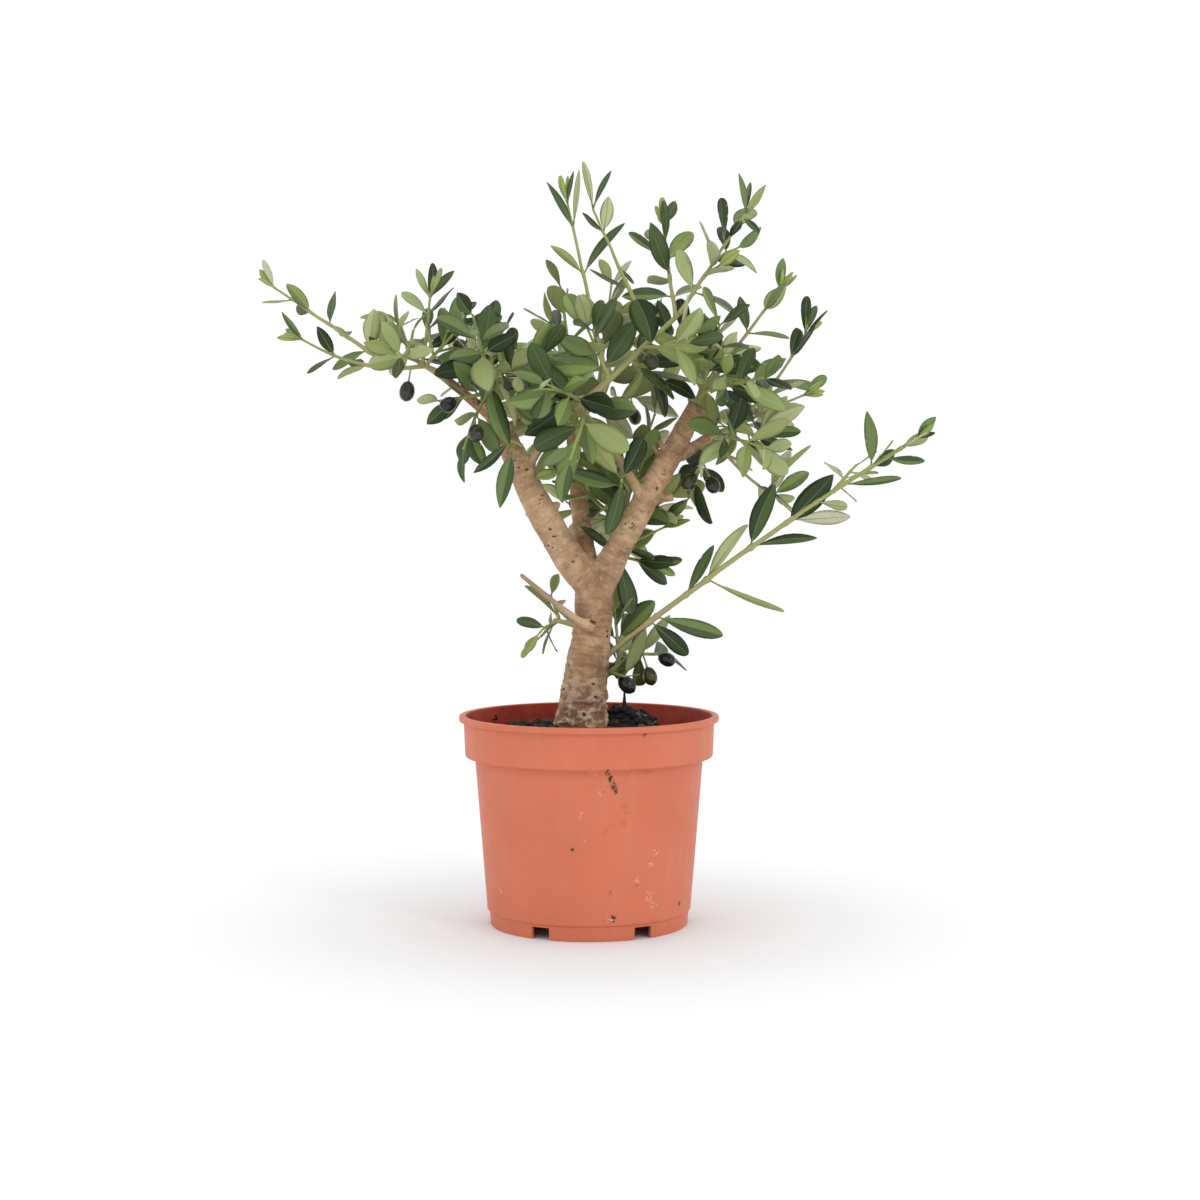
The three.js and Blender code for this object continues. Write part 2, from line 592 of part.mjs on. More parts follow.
function keepLeaf(leaf, twig) {
  twig.leaves.push(leaf);
  LEAF_PROBES.forEach(([a, b]) => take(onLeaf(leaf, a, b), LEAF_CLEAR, LEAF_OWNER));
}

// Leaves in pairs, each pair a quarter turn from the last. One that would touch is turned, and else left out.
function growLeaves(twig) {
  const phase = Math.PI * chance(twig.key, 7);
  for (let i = 0; i <= twig.pairs; i++) {
    const t = Math.min(1, lerp(twig.bare, 1, i / twig.pairs));
    for (const half of [0, 1]) {
      const key = twig.key * 64 + i * 2 + half;
      if (chance(key, 8) < LEAF_LOSS) continue;
      const angle = phase + Math.PI * half + (i * Math.PI) / 2 + LEAF_SWING * (chance(key, 6) - 0.5);
      for (const turn of LEAF_TURNS) {
        const leaf = leafAt(twig, t, angle + turn, key, twig.leaf);
        if (!leafIsClear(leaf, twig)) continue;
        keepLeaf(leaf, twig);
        break;
      }
    }
  }
}

// Olives on their stalks. One that would touch is left out.
function growFruit(twigs, fruit) {
  for (const { on, at, hang } of fruit) {
    const twig = twigs[on];
    const root = twig.path.getPoint(at);
    const axis = vector(hang).normalize();
    const middle = root.clone().add(vector(hang));
    const half = (OLIVE.length - OLIVE.width) / 2;
    const rounds = [-half, half].map((d) => middle.clone().addScaledVector(axis, d));
    if (rounds.some((p) => hits(p, OLIVE.width / 2, twig.id))) continue;
    twig.olives.push({ root, axis, middle });
    rounds.forEach((p) => take(p, OLIVE.width / 2, LEAF_OWNER));
  }
}

// Points along a path, with how far along each one is
function probes(path) {
  const steps = Math.ceil(path.getLength() / LIMB_PROBE);
  return Array.from({ length: steps + 1 }, (_, i) => ({ t: i / steps, point: path.getPoint(i / steps) }));
}

const shootRadii = (path) => [SHOOT_RADIUS + path.getLength() * SHOOT_GAIN, SHOOT_TIP];

// The twigs of one mass: the stem and every shoot, without leaves
function growTwigs(mass, limb, firstId) {
  const tip = limb.path.getPoint(1).addScaledVector(limb.path.getTangent(1), -STEM_SUNK);
  const stemFoot = mass.foot ? vector(mass.foot) : tip;
  const stemRadius = mass.radius ?? Math.min(STEM_RADIUS, along(limb.radii, 1) * STEM_SHARE);
  const twigs = [];
  [mass.stem, ...mass.shoots].forEach((s, order) => {
    const foot = order ? twigs[s.on].path.getPoint(s.at) : stemFoot;
    const path = twigPath(foot, vector(s.reach), s.bow);
    const twig = {
      id: firstId + order, key: s.seed, path, pairs: s.pairs, leaf: s.leaf, leaves: [], olives: [],
      radii: order ? shootRadii(path) : [stemRadius, stemRadius * STEM_TAPER],
      width: s.slim ? SLIM : mass.width,
      slim: s.slim,
      bare: order ? SHOOT_BARE : STEM_BARE,
    };
    twigs.push(twig);
    probes(path).forEach(({ point }) => take(point, twig.radii[0] + TWIG_CLEAR, twig.id));
  });
  return twigs;
}

// All the twigs first, so that every leaf keeps clear of every twig, then olives, then leaves
function grow(made) {
  for (const { path, radii, stubs = [] } of made.values()) {
    probes(path).forEach(({ t, point }) => take(point, along(radii, t) + LIMB_CLEAR, LIMB_OWNER));
    for (const s of stubs) {
      const clear = s.radius * STUB_FLARE + LIMB_CLEAR;
      probes(stubPath(path, s)).forEach(({ point }) => take(point, clear, LIMB_OWNER));
    }
  }
  const masses = new Map();
  let id = 0;
  for (const [name, mass] of Object.entries(MASSES)) {
    const twigs = growTwigs(mass, made.get(mass.limb), id);
    id += twigs.length;
    masses.set(name, twigs);
  }
  for (const [name, twigs] of masses) {
    for (const b of MASSES[name].blades) keepLeaf(bladeAt(twigs[b.on], b), twigs[b.on]);
  }
  for (const [name, twigs] of masses) growFruit(twigs, MASSES[name].fruit);
  [...masses.values()].flat().filter((twig) => twig.pairs).forEach(growLeaves);
  return masses;
}

const twigSolid = ({ path, radii }) =>
  solidOf(limbGeometry({ path, radii, sides: TWIG_SIDES, steps: Math.ceil(path.getLength() / TWIG_STEP) }));

// A thin blade: flat below, ridged above, tapering to a root that is sunk past the middle of its twig
const LEAF_POINTS = [[-0.02, 0, 0], [0.48, -1.2, 0], [1, 0, 0], [0.48, 1.2, 0], [0.5, 0, 1]];
const LEAF_FACES = [[0, 3, 1], [1, 3, 2], [0, 1, 4], [1, 2, 4], [2, 3, 4], [3, 0, 4]];
function leafSolid(leaf) {
  const points = LEAF_POINTS.map(([a, b, c]) => onLeaf(leaf, a, b, c));
  return solidOf(new THREE.BufferGeometry().setFromPoints(points).setIndex(LEAF_FACES.flat()));
}

function oliveSolid({ root, axis, middle }) {
  const turn = new THREE.Quaternion().setFromUnitVectors(new THREE.Vector3(0, 1, 0), axis);
  const body = new THREE.SphereGeometry(0.5, OLIVE.sides, OLIVE.rings)
    .scale(OLIVE.width, OLIVE.length, OLIVE.width).applyQuaternion(turn).translate(...middle);
  const path = new THREE.LineCurve3(root, middle);
  const stalk = limbGeometry({ path, radii: STALK_RADII, sides: TWIG_SIDES, steps: 1 });
  return solidOf(body).add(solidOf(stalk));
}

// A mass of foliage as one solid, cut clear of the limb that its stem meets
function massSolid(twigs, limb) {
  const pieces = twigs.flatMap((twig) => [
    twigSolid(twig), ...twig.leaves.map(leafSolid), ...twig.olives.map(oliveSolid),
  ]);
  const joined = wasm.Manifold.union(pieces).subtract(solidOf(limbGeometry(limb, GAP)));
  return largest(joined.simplify(LEAST_EDGE));
}

const material = (color, roughness) => new THREE.MeshStandardMaterial({ color, roughness, metalness: 0 });
const LOOKS = {
  pot: material(0xc9745a, 0.55),
  soil: material(0x1d1714, 0.95),
  bark: material(0xb4937a, 0.85),
  foliage: material(0x5d7443, 0.5),
};

const tree = new THREE.Group();
function add(name, solid, look) {
  const mesh = new THREE.Mesh(geometryOf(solid), LOOKS[look]);
  mesh.name = name;
  tree.add(mesh);
}

const made = limbs();
add('pot', pot(), 'pot');
add('soil', soil(made.get('trunk')), 'soil');
for (const [name, { solid }] of made) add(name, solid, 'bark');
for (const [name, twigs] of grow(made)) add(name, massSolid(twigs, made.get(MASSES[name].limb)), 'foliage');

export default tree;
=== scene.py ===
# Looks of the potted olive bonsai: bark, leaves, twigs, olives, soil and pot, in the frame of its solids.
# Sizes are in millimetres until a mesh is made. The plant grows by the same rule as its solids.
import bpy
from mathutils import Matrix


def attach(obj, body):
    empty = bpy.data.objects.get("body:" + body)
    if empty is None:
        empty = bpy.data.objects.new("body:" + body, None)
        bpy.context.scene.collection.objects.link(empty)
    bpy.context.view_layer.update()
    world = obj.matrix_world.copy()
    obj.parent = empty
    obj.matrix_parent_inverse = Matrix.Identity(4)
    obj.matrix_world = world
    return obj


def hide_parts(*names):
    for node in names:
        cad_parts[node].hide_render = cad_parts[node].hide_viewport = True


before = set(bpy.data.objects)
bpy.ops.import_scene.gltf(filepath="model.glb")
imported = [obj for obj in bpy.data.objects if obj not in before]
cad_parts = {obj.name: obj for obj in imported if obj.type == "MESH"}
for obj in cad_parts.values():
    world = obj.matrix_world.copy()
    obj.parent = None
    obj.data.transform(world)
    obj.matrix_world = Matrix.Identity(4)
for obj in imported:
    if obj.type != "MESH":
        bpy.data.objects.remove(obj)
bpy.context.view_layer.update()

import math
from types import SimpleNamespace

import bmesh
import bpy
import numpy as np
from mathutils import Vector, noise

MM = 0.001
UP = np.array([0.0, 0.0, 1.0])
SIDEWAYS = np.array([1.0, 0.0, 0.0])
BACKWARDS = np.array([0.0, 1.0, 0.0])

# Noise that gives a direction depends on this seed
NOISE_SEED = 1
noise.seed_set(NOISE_SEED)

# Pot: a foot ring with slots, a tapering wall, a wide collar and a rolled lip
POT_HEIGHT = 177.5
LIP_RADIUS = 110
LIP_HEIGHT = 5
COLLAR_RADIUS = 106
COLLAR_BOTTOM_RADIUS = 105
COLLAR_HEIGHT = 35
WALL_TOP_RADIUS = 96.6
WALL_BOTTOM_RADIUS = 86.4
WALL = 2
FOOT_RADIUS = 84
FOOT_HEIGHT = 12.5
FLOOR_BOTTOM = 11
FLOOR_TOP = 13.5
POT_SIDES = 192
SLOTS = 6
SLOT_WIDTH = 16
SLOT_HEIGHT = 10.4
SLOT_TURN = math.radians(2)
DRAIN_RADIUS = 5
DRAIN_CIRCLE = 62

# Soil: level at the wall, mounded at the trunk, with one wet clod leaning on the trunk's right side
SOIL_EDGE = 153
SOIL_MOUND = 13
CLOD = SimpleNamespace(x=37, y=12, height=17, radius=25)
GAP = 0.3

# Trunk and boughs: each a tapering limb on a cubic curve, from its foot to its tip
GROUND = 166
LIMBS = {
    "trunk": dict(
        path=[[-6.5, 0, GROUND], [-5, 0, 215], [9, 0, 255], [3, 2, 302]],
        radii=[22.5, 19.6, 18, 15.6, 16.8, 14],
    ),
    "bough_left": dict(
        path=[[3, 0, 288], [-40, 0, 330], [-58, -6, 395], [-86, -12, 442]],
        radii=[15, 12.6, 10.6, 7.6],
        stubs=[(0.35, 268, 20, 2.8), (0.6, 262, 25, 2.4)],
    ),
    "bough_right": dict(
        path=[[8, 0, 286], [20, 0, 310], [60, 0, 380], [91.5, 0, 438.6]],
        radii=[14, 11.4, 10.4, 8],
        stubs=[(0.55, 262, 24, 3.6), (0.71, 84, 21, 2.4), (0.74, 116, 20, 2.2)],
    ),
    "bough_back": dict(
        path=[[1, 4, 292], [-6, 24, 330], [-11, 48, 372], [-14.5, 70, 418]],
        radii=[9, 8, 7.2, 6],
    ),
    "bough_left_arm": dict(
        path=[[-76, -10, 424], [-94, -8, 438], [-112, -4, 456], [-131, 0, 468]],
        radii=[5, 4.4, 3.8, 3.2],
    ),
    "bough_right_arm": dict(
        path=[[76, 2, 396], [86, 4, 401], [94, 6, 407], [101, 8, 412]],
        radii=[5.6, 5.2, 4.6, 4],
    ),
    "bough_centre": dict(
        path=[[46, -3, 358], [30, -14, 390], [8, -24, 415], [-10.5, -30, 437.6]],
        radii=[4.6, 3.9, 3.6, 3.6],
    ),
    "pruned_twig": dict(
        path=[[4, -11, 251], [-14, -24, 259], [-36, -25, 280], [-57, -26, 297]],
        radii=[4.6, 3.2, 2.5, 2],
    ),
}
CUT_LIMBS = ("bough_left", "bough_right", "pruned_twig")

# A pruned side shoot leans along its limb at this angle and is wider at its root
STUB_ANGLE = math.radians(53)
STUB_FLARE = 1.3

# The crown keeps inside this box, which is centred on the pot
REACH = SimpleNamespace(side=286, depth=147, top=643, bottom=192)

# Twigs: a stem's radius is a share of its limb's, and a shoot's grows with its length
STEM_RADIUS = 2.8
STEM_SHARE = 0.8
STEM_TAPER = 0.62
STEM_SUNK = 3
STEM_BARE = 0.86
SHOOT_RADIUS = 1.5
SHOOT_GAIN = 0.004
SHOOT_TIP = 0.9
SHOOT_BARE = 0.22
TWIG_CLEAR = 1.1
LIMB_CLEAR = 1.6
LIMB_PROBE = 4

# Leaves: each pair of values runs from the foot of a twig to its tip, or from least to greatest
LEAF_SPREAD = (64, 26)
LEAF_SWAY = 18
LEAF_SWING = 0.9
LEAF_TWIST = 1.1
LEAF_FOLD = 0.6
LEAF_LIGHT = (0.7, 0.35)
LEAF_SIZES = (1, 0.72)
LEAF_LENGTHS = (0.84, 1.16)
LEAF_WIDTHS = (0.86, 1.14)
LEAF_CURLS = (-0.04, 0.16)
LEAF_TURNS = (0, 0.6, -0.6, 1.2, -1.2)
LEAF_CLEAR = 2.1
LEAF_LOSS = 0.1
SLIM = 0.34
SLIM_LIGHT = 1.4

# Leaves behind this turn to the back, and the others to the front
BACK_HALF = 40

# A large leaf turns to the front and a little upwards
BLADE = SimpleNamespace(front=0.85, up=0.5, curl=0.05)

OLIVE = SimpleNamespace(length=18, width=13.5)


def mix(a, b, f):
    return a + (b - a) * f


def between(values, f):
    return mix(*values, f)


def unit(v):
    return v / np.linalg.norm(v, axis=-1, keepdims=True)


# The direction nearest to v that is square to an axis
def square(v, axis):
    return unit(v - axis * v.dot(axis))


# A number from 0 to 1 that is always the same for the same keys: the thing's own and the number of the draw
WORD = 0xFFFFFFFF
HASH_START = 2166136261
HASH_FACTORS = (16777619, 739982445)
HASH_SHIFTS = (15, 12)


def chance(*keys):
    h = HASH_START
    for key in keys:
        h = ((h ^ key) * HASH_FACTORS[0]) & WORD
        h = ((h ^ (h >> HASH_SHIFTS[0])) * HASH_FACTORS[1]) & WORD
        h = (h ^ (h >> HASH_SHIFTS[1])) & WORD
    return h / (WORD + 1)


# How many keys each twig, each twig's fruit and each mass's large leaves have
TWIG_KEYS = 64
FRUIT_KEYS = 8
MASS_KEYS = 640


# The value at t, from 0 to 1, on a smooth line through evenly spaced values
def along(values, t):
    values = np.asarray(values, float)
    place = np.asarray(t) * (len(values) - 1)
    i = np.minimum(len(values) - 2, np.floor(place)).astype(int)
    f = place - i
    return mix(values[i], values[i + 1], f * f * (3 - 2 * f))


class Curve:
    """A Bezier curve from its first control point to its last."""

    LENGTH_STEPS = 200

    def __init__(self, points):
        self.points = np.array(points, float)

    def at(self, t):
        t = np.asarray(t, float)[..., None, None]
        p = self.points
        while p.shape[-2] > 1:
            p = p[..., :-1, :] * (1 - t) + p[..., 1:, :] * t
        return p[..., 0, :]

    def tangent(self, t):
        return unit(Curve(np.diff(self.points, axis=0)).at(t))

    def length(self):
        steps = self.at(np.linspace(0, 1, self.LENGTH_STEPS + 1))
        return np.linalg.norm(np.diff(steps, axis=0), axis=1).sum()


# A direction square to another one
STEEP = 0.8


def across(direction):
    return square(BACKWARDS if abs(direction[1]) < STEEP else SIDEWAYS, direction)


# v turned about an axis
def turned(v, axis, angle):
    c, s = math.cos(angle), math.sin(angle)
    return v * c + np.cross(axis, v) * s + axis * axis.dot(v) * (1 - c)


# The line of a pruned side shoot, from the middle of its limb to its cut end
def stub_path(path, at, turn, length):
    direction = path.tangent(at)
    out = turned(across(direction), direction, math.radians(turn)) * math.sin(STUB_ANGLE)
    root = path.at(at)
    return Curve([root, root + (out + direction * math.cos(STUB_ANGLE)) * length])


# Foliage. Each mass has one stem, which meets the limb named, and shoots that leave the stem or an earlier
# shoot. on is a shoot's parent, 0 for the stem, and at is how far along it. reach runs from foot to tip.
# Its leaves are dealt out from its own seed. A slim shoot is a long outer one with narrow leaves.
def shoot(on, at, reach, pairs, leaf, seed, bow=0, slim=False):
    return SimpleNamespace(
        on=on, at=at, reach=np.array(reach, float), pairs=pairs, leaf=leaf, seed=seed, bow=bow, slim=slim
    )


# A single large leaf that shows from the front. shows is 1 for its upper side and -1 for its underside.
def blade(on, at, reach, width, shows=1):
    return SimpleNamespace(on=on, at=at, reach=np.array(reach, float), width=width, shows=shows)


# An olive on its stalk. hang runs from the twig to the olive's middle.
def olive(on, at, hang):
    return SimpleNamespace(on=on, at=at, hang=np.array(hang, float))


def mass(limb, stem, width, shoots, blades=(), fruit=(), foot=None, radius=None):
    return SimpleNamespace(
        limb=limb, width=width, shoots=[stem, *shoots], blades=blades, fruit=fruit, foot=foot, radius=radius
    )


def bare_stem(reach):
    return shoot(0, 0, reach, 0, 0, 0)


MASSES = {
    "foliage_left_reach": mass(
        "bough_left_arm", bare_stem([-25, 5, 15]), 0.42,
        [
            shoot(0, 0.35, [-104, 8, 22], 3, 38, 20, bow=-10, slim=True),
            shoot(1, 0.26, [-106, 38, 71], 5, 38, 109, slim=True),
            shoot(0, 0.45, [7, -9, 54], 3, 38, 60, slim=True),
            shoot(0, 0.35, [30, -14, 32], 3, 44, 40),
            shoot(0, 0.9, [-12, 56, 30], 3, 40, 30),
            shoot(0, 0.6, [-16, -46, 4], 3, 40, 74),
            shoot(0, 0.98, [6, -8, 20], 1, 30, 128),
        ],
        [blade(2, 0.2, [5, -6, 36], 15, -1), blade(2, 0.02, [-1, -8, 38], 17, -1)],
        [olive(1, 0.12, [-3, -4, -20])],
    ),
    "foliage_left_crown": mass(
        "bough_left", bare_stem([2, -3, 24]), 0.42,
        [
            shoot(0, 0.7, [5, 2, 42], 3, 42, 68),
            shoot(0, 0.9, [44, -30, 14], 4, 48, 32),
            shoot(0, 0.35, [-40, -15, -7], 3, 34, 69),
            shoot(0, 0.3, [-20, -15, -46], 3, 36, 92, bow=5),
            shoot(0, 0.5, [-34, 58, 26], 3, 44, 85),
            shoot(0, 0.8, [28, 46, 8], 3, 44, 10),
            shoot(0, 0.8, [-8, -98, 46], 4, 44, 134),
            shoot(0, 0.5, [20, -26, -52], 0, 0, 0, bow=9),
            shoot(0, 0.95, [-26, -10, 30], 3, 40, 100),
        ],
        [blade(8, 1, [-16, -8, 50], 17), blade(8, 1, [-10, -5, -47], 14), blade(8, 0.9, [-30, -5, -26], 9)],
        [
            olive(3, 0.6, [-8, -13, -6]), olive(3, 0.1, [-4, -18, 10]), olive(9, 0.6, [-8, 6, 6]),
            olive(4, 0.55, [2, -18, -12]),
        ],
    ),
    "foliage_centre": mass(
        "bough_centre", bare_stem([86, 10, 80]), 0.42,
        [
            shoot(0, 0.97, [56, 10, 84], 5, 42, 35),
            shoot(0, 0.94, [-10, 24, 78], 4, 44, 26, slim=True),
            shoot(0, 0.71, [-49, 15, 109], 0, 0, 0, slim=True),
            shoot(0, 0.28, [-33, 7, 146], 0, 0, 0, slim=True),
            shoot(0, 0.06, [-30, -52, 12], 4, 48, 61),
            shoot(0, 0.12, [-16, -80, -54], 4, 46, 8),
            shoot(0, 0.3, [-18, -14, 40], 3, 46, 103),
            shoot(0, 0.62, [34, -48, 0], 3, 46, 1),
            shoot(0, 0.5, [26, 30, -16], 3, 46, 9),
        ],
        [
            blade(0, 0.03, [-40, -26, 38], 22), blade(2, 0.45, [-16, -18, 42], 18),
            blade(1, 1, [-6, -4, 33], 6), blade(1, 1, [4, 3, 27], 5), blade(1, 1, [16, -3, 24], 8, -1),
            blade(1, 0.96, [13, -6, -13], 8), blade(1, 0.95, [-10, -8, -15], 9),
            blade(3, 1, [-8, -5, 39], 6.5, -1), blade(3, 1, [15, 3, 33], 5),
            blade(3, 0.82, [4, 4, 30], 11.7, -1), blade(3, 0.82, [-17, -6, 16], 7.3),
            blade(3, 0.55, [13, 6, -13], 3.6), blade(3, 0.39, [-32, -8, 16], 5.6),
            blade(4, 1, [-6, -5, 23], 6, -1), blade(4, 1, [0, 3, 24], 5), blade(4, 1, [5, -3, 27], 4),
            blade(4, 0.86, [-21, -6, 38], 8), blade(4, 0.86, [5, -4, 48], 5, -1),
            blade(4, 0.6, [-27, -6, 24], 8, -1), blade(4, 0.6, [35, 34, 49], 7.6),
        ],
        [olive(0, 0.6, [8, -10, -10])],
        radius=3.1,
    ),
    "foliage_back": mass(
        "bough_back", bare_stem([22, -5, 36]), 0.4,
        [
            shoot(0, 0.15, [-13, -16, 120], 4, 42, 2),
            shoot(0, 0.98, [12, 20, 96], 4, 40, 89),
            shoot(0, 0.5, [-70, 34, 26], 4, 46, 114),
            shoot(0, 0.6, [62, 42, 22], 4, 46, 21),
            shoot(0, 0.4, [-8, 60, 8], 3, 46, 31),
            shoot(0, 0.8, [-42, 44, 58], 3, 44, 59),
            shoot(0, 0.9, [44, 36, 64], 3, 44, 55),
            shoot(0, 0.1, [-38, -16, 8], 3, 46, 131),
            shoot(0, 0.3, [-40, 14, -34], 2, 46, 51, bow=10),
        ],
        fruit=[olive(4, 0.6, [4, 8, -18]), olive(5, 0.5, [-4, 10, -18])],
    ),
    "foliage_inner": mass(
        "trunk", bare_stem([15, 34, 63]), 0.42,
        [
            shoot(0, 0.9, [20, -22, 48], 3, 46, 139),
            shoot(0, 0.8, [44, 6, 26], 3, 46, 107),
            shoot(0, 0.95, [-12, -14, 46], 3, 48, 88),
            shoot(0, 0.7, [14, 52, 22], 3, 46, 144),
            shoot(0, 0.45, [34, -2, -6], 2, 46, 82, slim=True),
            shoot(0, 0.85, [3, -64, 40], 0, 0, 0),
            shoot(0, 0.9, [-44, 34, 16], 3, 44, 29),
            shoot(0, 0.9, [-48, -28, 45], 3, 46, 110),
            shoot(0, 0.95, [31, 0, 90], 4, 44, 101),
            shoot(0, 0.5, [44, 2, 20], 1, 40, 86, slim=True),
        ],
        [
            blade(6, 1, [-38, -14, 46], 23, -1), blade(6, 0.95, [-12, -8, -44], 14),
            blade(6, 0.85, [-46, -4, 14], 15), blade(6, 1, [17, -6, 34], 16),
            blade(0, 0.57, [-26, -36, 18], 16),
        ],
        foot=[11.5, 13.5, 283], radius=2.6,
    ),
    "foliage_right_crown": mass(
        "bough_right", bare_stem([7, 8, 24]), 0.4,
        [
            shoot(0, 0.3, [67, -6, 91], 4, 40, 120, slim=True),
            shoot(0, 0.9, [12, -30, 46], 4, 44, 112),
            shoot(0, 0.5, [22, 60, 34], 4, 44, 42),
            shoot(0, 0.9, [-16, -12, 36], 3, 42, 94),
            shoot(0, 0.6, [48, -70, 8], 4, 44, 18),
            shoot(0, 0.7, [-24, 32, 44], 3, 44, 137),
        ],
    ),
    "foliage_right": mass(
        "bough_right_arm", bare_stem([27, 5, 12]), 0.4,
        [
            shoot(0, 0.8, [63, 7, 79], 4, 42, 76, bow=-8, slim=True),
            shoot(0, 0.95, [20, -5, -10], 0, 0, 0),
            shoot(0, 0.25, [51, 14, -50], 3, 42, 116, bow=-6),
            shoot(0, 0.95, [58, 10, 26], 2, 44, 43, slim=True),
            shoot(0, 0.5, [40, 88, 10], 4, 46, 132),
            shoot(0, 0.4, [34, -76, -14], 4, 46, 119),
            shoot(0, 0.15, [-17, 6, -51], 3, 42, 17),
        ],
        [
            blade(2, 1, [22, -6, 35], 17, -1), blade(2, 1, [37, -10, 27], 18, -1),
            blade(2, 0.95, [34, -14, 5], 11), blade(2, 0.9, [-26, -12, 14], 14, -1),
            blade(2, 0.8, [30, -20, -12], 12), blade(3, 1, [31, 4, 20], 17),
            blade(3, 1, [14, -6, 38], 15, -1), blade(3, 0.9, [36, -12, 40], 7, -1),
        ],
        [olive(7, 0.5, [-9, -4, -12]), olive(7, 0.4, [8, -16, -20]), olive(5, 0.6, [6, 10, -18])],
    ),
    "foliage_low_right": mass(
        "trunk", shoot(0, 0, [255, -49, 183], 3, 40, 65, bow=6, slim=True), 0.33,
        [shoot(0, 0.74, [22, 26, 22], 3, 36, 4)],
        [
            blade(0, 0.17, [56, -8, -14], 15), blade(0, 0.15, [32, -8, -27], 14),
            blade(0, 0.14, [-19, -12, -40], 15, -1), blade(0, 0.265, [23, -6, 42], 11),
            blade(0, 0.33, [35, 6, 47], 14, -1), blade(0, 0.335, [65, -14, -25], 8, -1),
            blade(0, 0.475, [19, -8, 53], 16), blade(0, 0.48, [53, -14, 9], 9),
            blade(0, 0.59, [38, -6, 41], 20), blade(0, 0.605, [49, -10, 4], 13, -1),
            blade(0, 0.69, [24, -16, -3], 9, -1),
            blade(0, 0.775, [46, -8, 6], 9), blade(0, 0.86, [-4, -4, 46], 11),
        ],
        foot=[13.5, 3, 226], radius=2.5,
    ),
    "foliage_base_right": mass(
        "trunk", bare_stem([30, 8, 21]), 0.38,
        [
            shoot(0, 0.5, [-4, 6, 44], 3, 44, 99),
            shoot(0, 0.9, [26, 12, 0], 2, 44, 129),
            shoot(0, 0.4, [8, 40, 18], 3, 42, 70),
            shoot(0, 0.2, [14, -18, -2], 1, 34, 146),
        ],
        fruit=[
            olive(0, 0.9, [4, 8, 12]), olive(2, 0.7, [10, -6, -4]), olive(0, 0.3, [12, -4, -12]),
            olive(2, 0.3, [6, -6, -18]),
        ],
        foot=[11, 7, 208],
    ),
    "foliage_base_left": mass(
        "trunk", bare_stem([-24, 16, 5]), 0.34,
        [shoot(0, 0.9, [-14, 8, -14], 2, 32, 75), shoot(0, 0.8, [-8, 34, 20], 3, 38, 48)],
        foot=[-6, 7, 251],
    ),
}


class Space:
    """Points that growth keeps clear of, each with a radius and the twig that owns it."""

    ROOM = 80000
    LEAF = -1
    LIMB = -2

    def __init__(self):
        self.points = np.zeros((self.ROOM, 3))
        self.radii = np.zeros(self.ROOM)
        self.owner = np.zeros(self.ROOM, int)
        self.count = 0

    def take(self, points, radius, owner):
        points = np.atleast_2d(points)
        part = slice(self.count, self.count + len(points))
        self.points[part] = points
        self.radii[part] = radius
        self.owner[part] = owner
        self.count += len(points)

    def hits(self, points, radius, own):
        points = np.atleast_2d(points)
        middle = points.mean(axis=0)
        reach = np.linalg.norm(points - middle, axis=1).max() + radius
        n = self.count
        gaps = np.linalg.norm(self.points[:n] - middle, axis=1)
        near = np.nonzero((gaps < reach + self.radii[:n]) & ~np.isin(self.owner[:n], own))[0]
        if not len(near):
            return False
        gaps = np.linalg.norm(points[:, None] - self.points[near], axis=2)
        return bool((gaps < self.radii[near] + radius).any())


space = Space()


def outside(points):
    x, y, z = np.abs(points[:, 0]), np.abs(points[:, 1]), points[:, 2]
    return bool(((x > REACH.side) | (y > REACH.depth) | (z > REACH.top) | (z < REACH.bottom)).any())


# A twig's path: a quadratic curve whose middle is lifted by bow
def twig_path(foot, reach, bow):
    return Curve([foot, foot + reach / 2 + UP * 2 * bow, foot + reach])


# Directions at a node of a twig: along it, and outwards at an angle round it
UPRIGHT = 0.02


def node_frame(path, t, angle):
    axis = path.tangent(t)
    level = UP - axis * UP.dot(axis)
    u = square(SIDEWAYS if level.dot(level) < UPRIGHT else UP, axis)
    return axis, u * math.cos(angle) + np.cross(axis, u) * math.sin(angle)


# The upper side of a leaf turns in to its twig, up, and out to the front or the back
def facing(root, direction, inward, slim):
    front, lift = LEAF_LIGHT
    front *= SLIM_LIGHT if slim else 1
    normal = inward * LEAF_FOLD + np.array([0, front if root[1] > BACK_HALF else -front, lift])
    return square(normal, direction)


def new_leaf(twig, at, angle, key, direction, normal, length, width, curl, large=False):
    return SimpleNamespace(
        twig=twig, at=at, angle=angle, key=key, root=twig.path.at(at), direction=direction, normal=normal,
        side=np.cross(normal, direction), length=length, width=width, curl=curl, large=large,
    )


# One leaf at a node: its blade leaves the twig at an angle and turns its upper side to the light
def leaf_at(twig, t, angle, key, size):
    axis, out = node_frame(twig.path, t, angle)
    spread = math.radians(between(LEAF_SPREAD, t * t) + LEAF_SWAY * (chance(key, 1) - 0.5))
    direction = axis * math.cos(spread) + out * math.sin(spread)
    inward = axis * math.sin(spread) - out * math.cos(spread)
    twist = LEAF_TWIST * (chance(key, 2) - 0.5)
    normal = turned(facing(twig.path.at(t), direction, inward, twig.slim), direction, twist)
    length = size * between(LEAF_SIZES, t * t) * between(LEAF_LENGTHS, chance(key, 3))
    width = length * twig.width * between(LEAF_WIDTHS, chance(key, 4))
    curl = between(LEAF_CURLS, chance(key, 5))
    return new_leaf(twig, t, angle, key, direction, normal, length, width, curl)


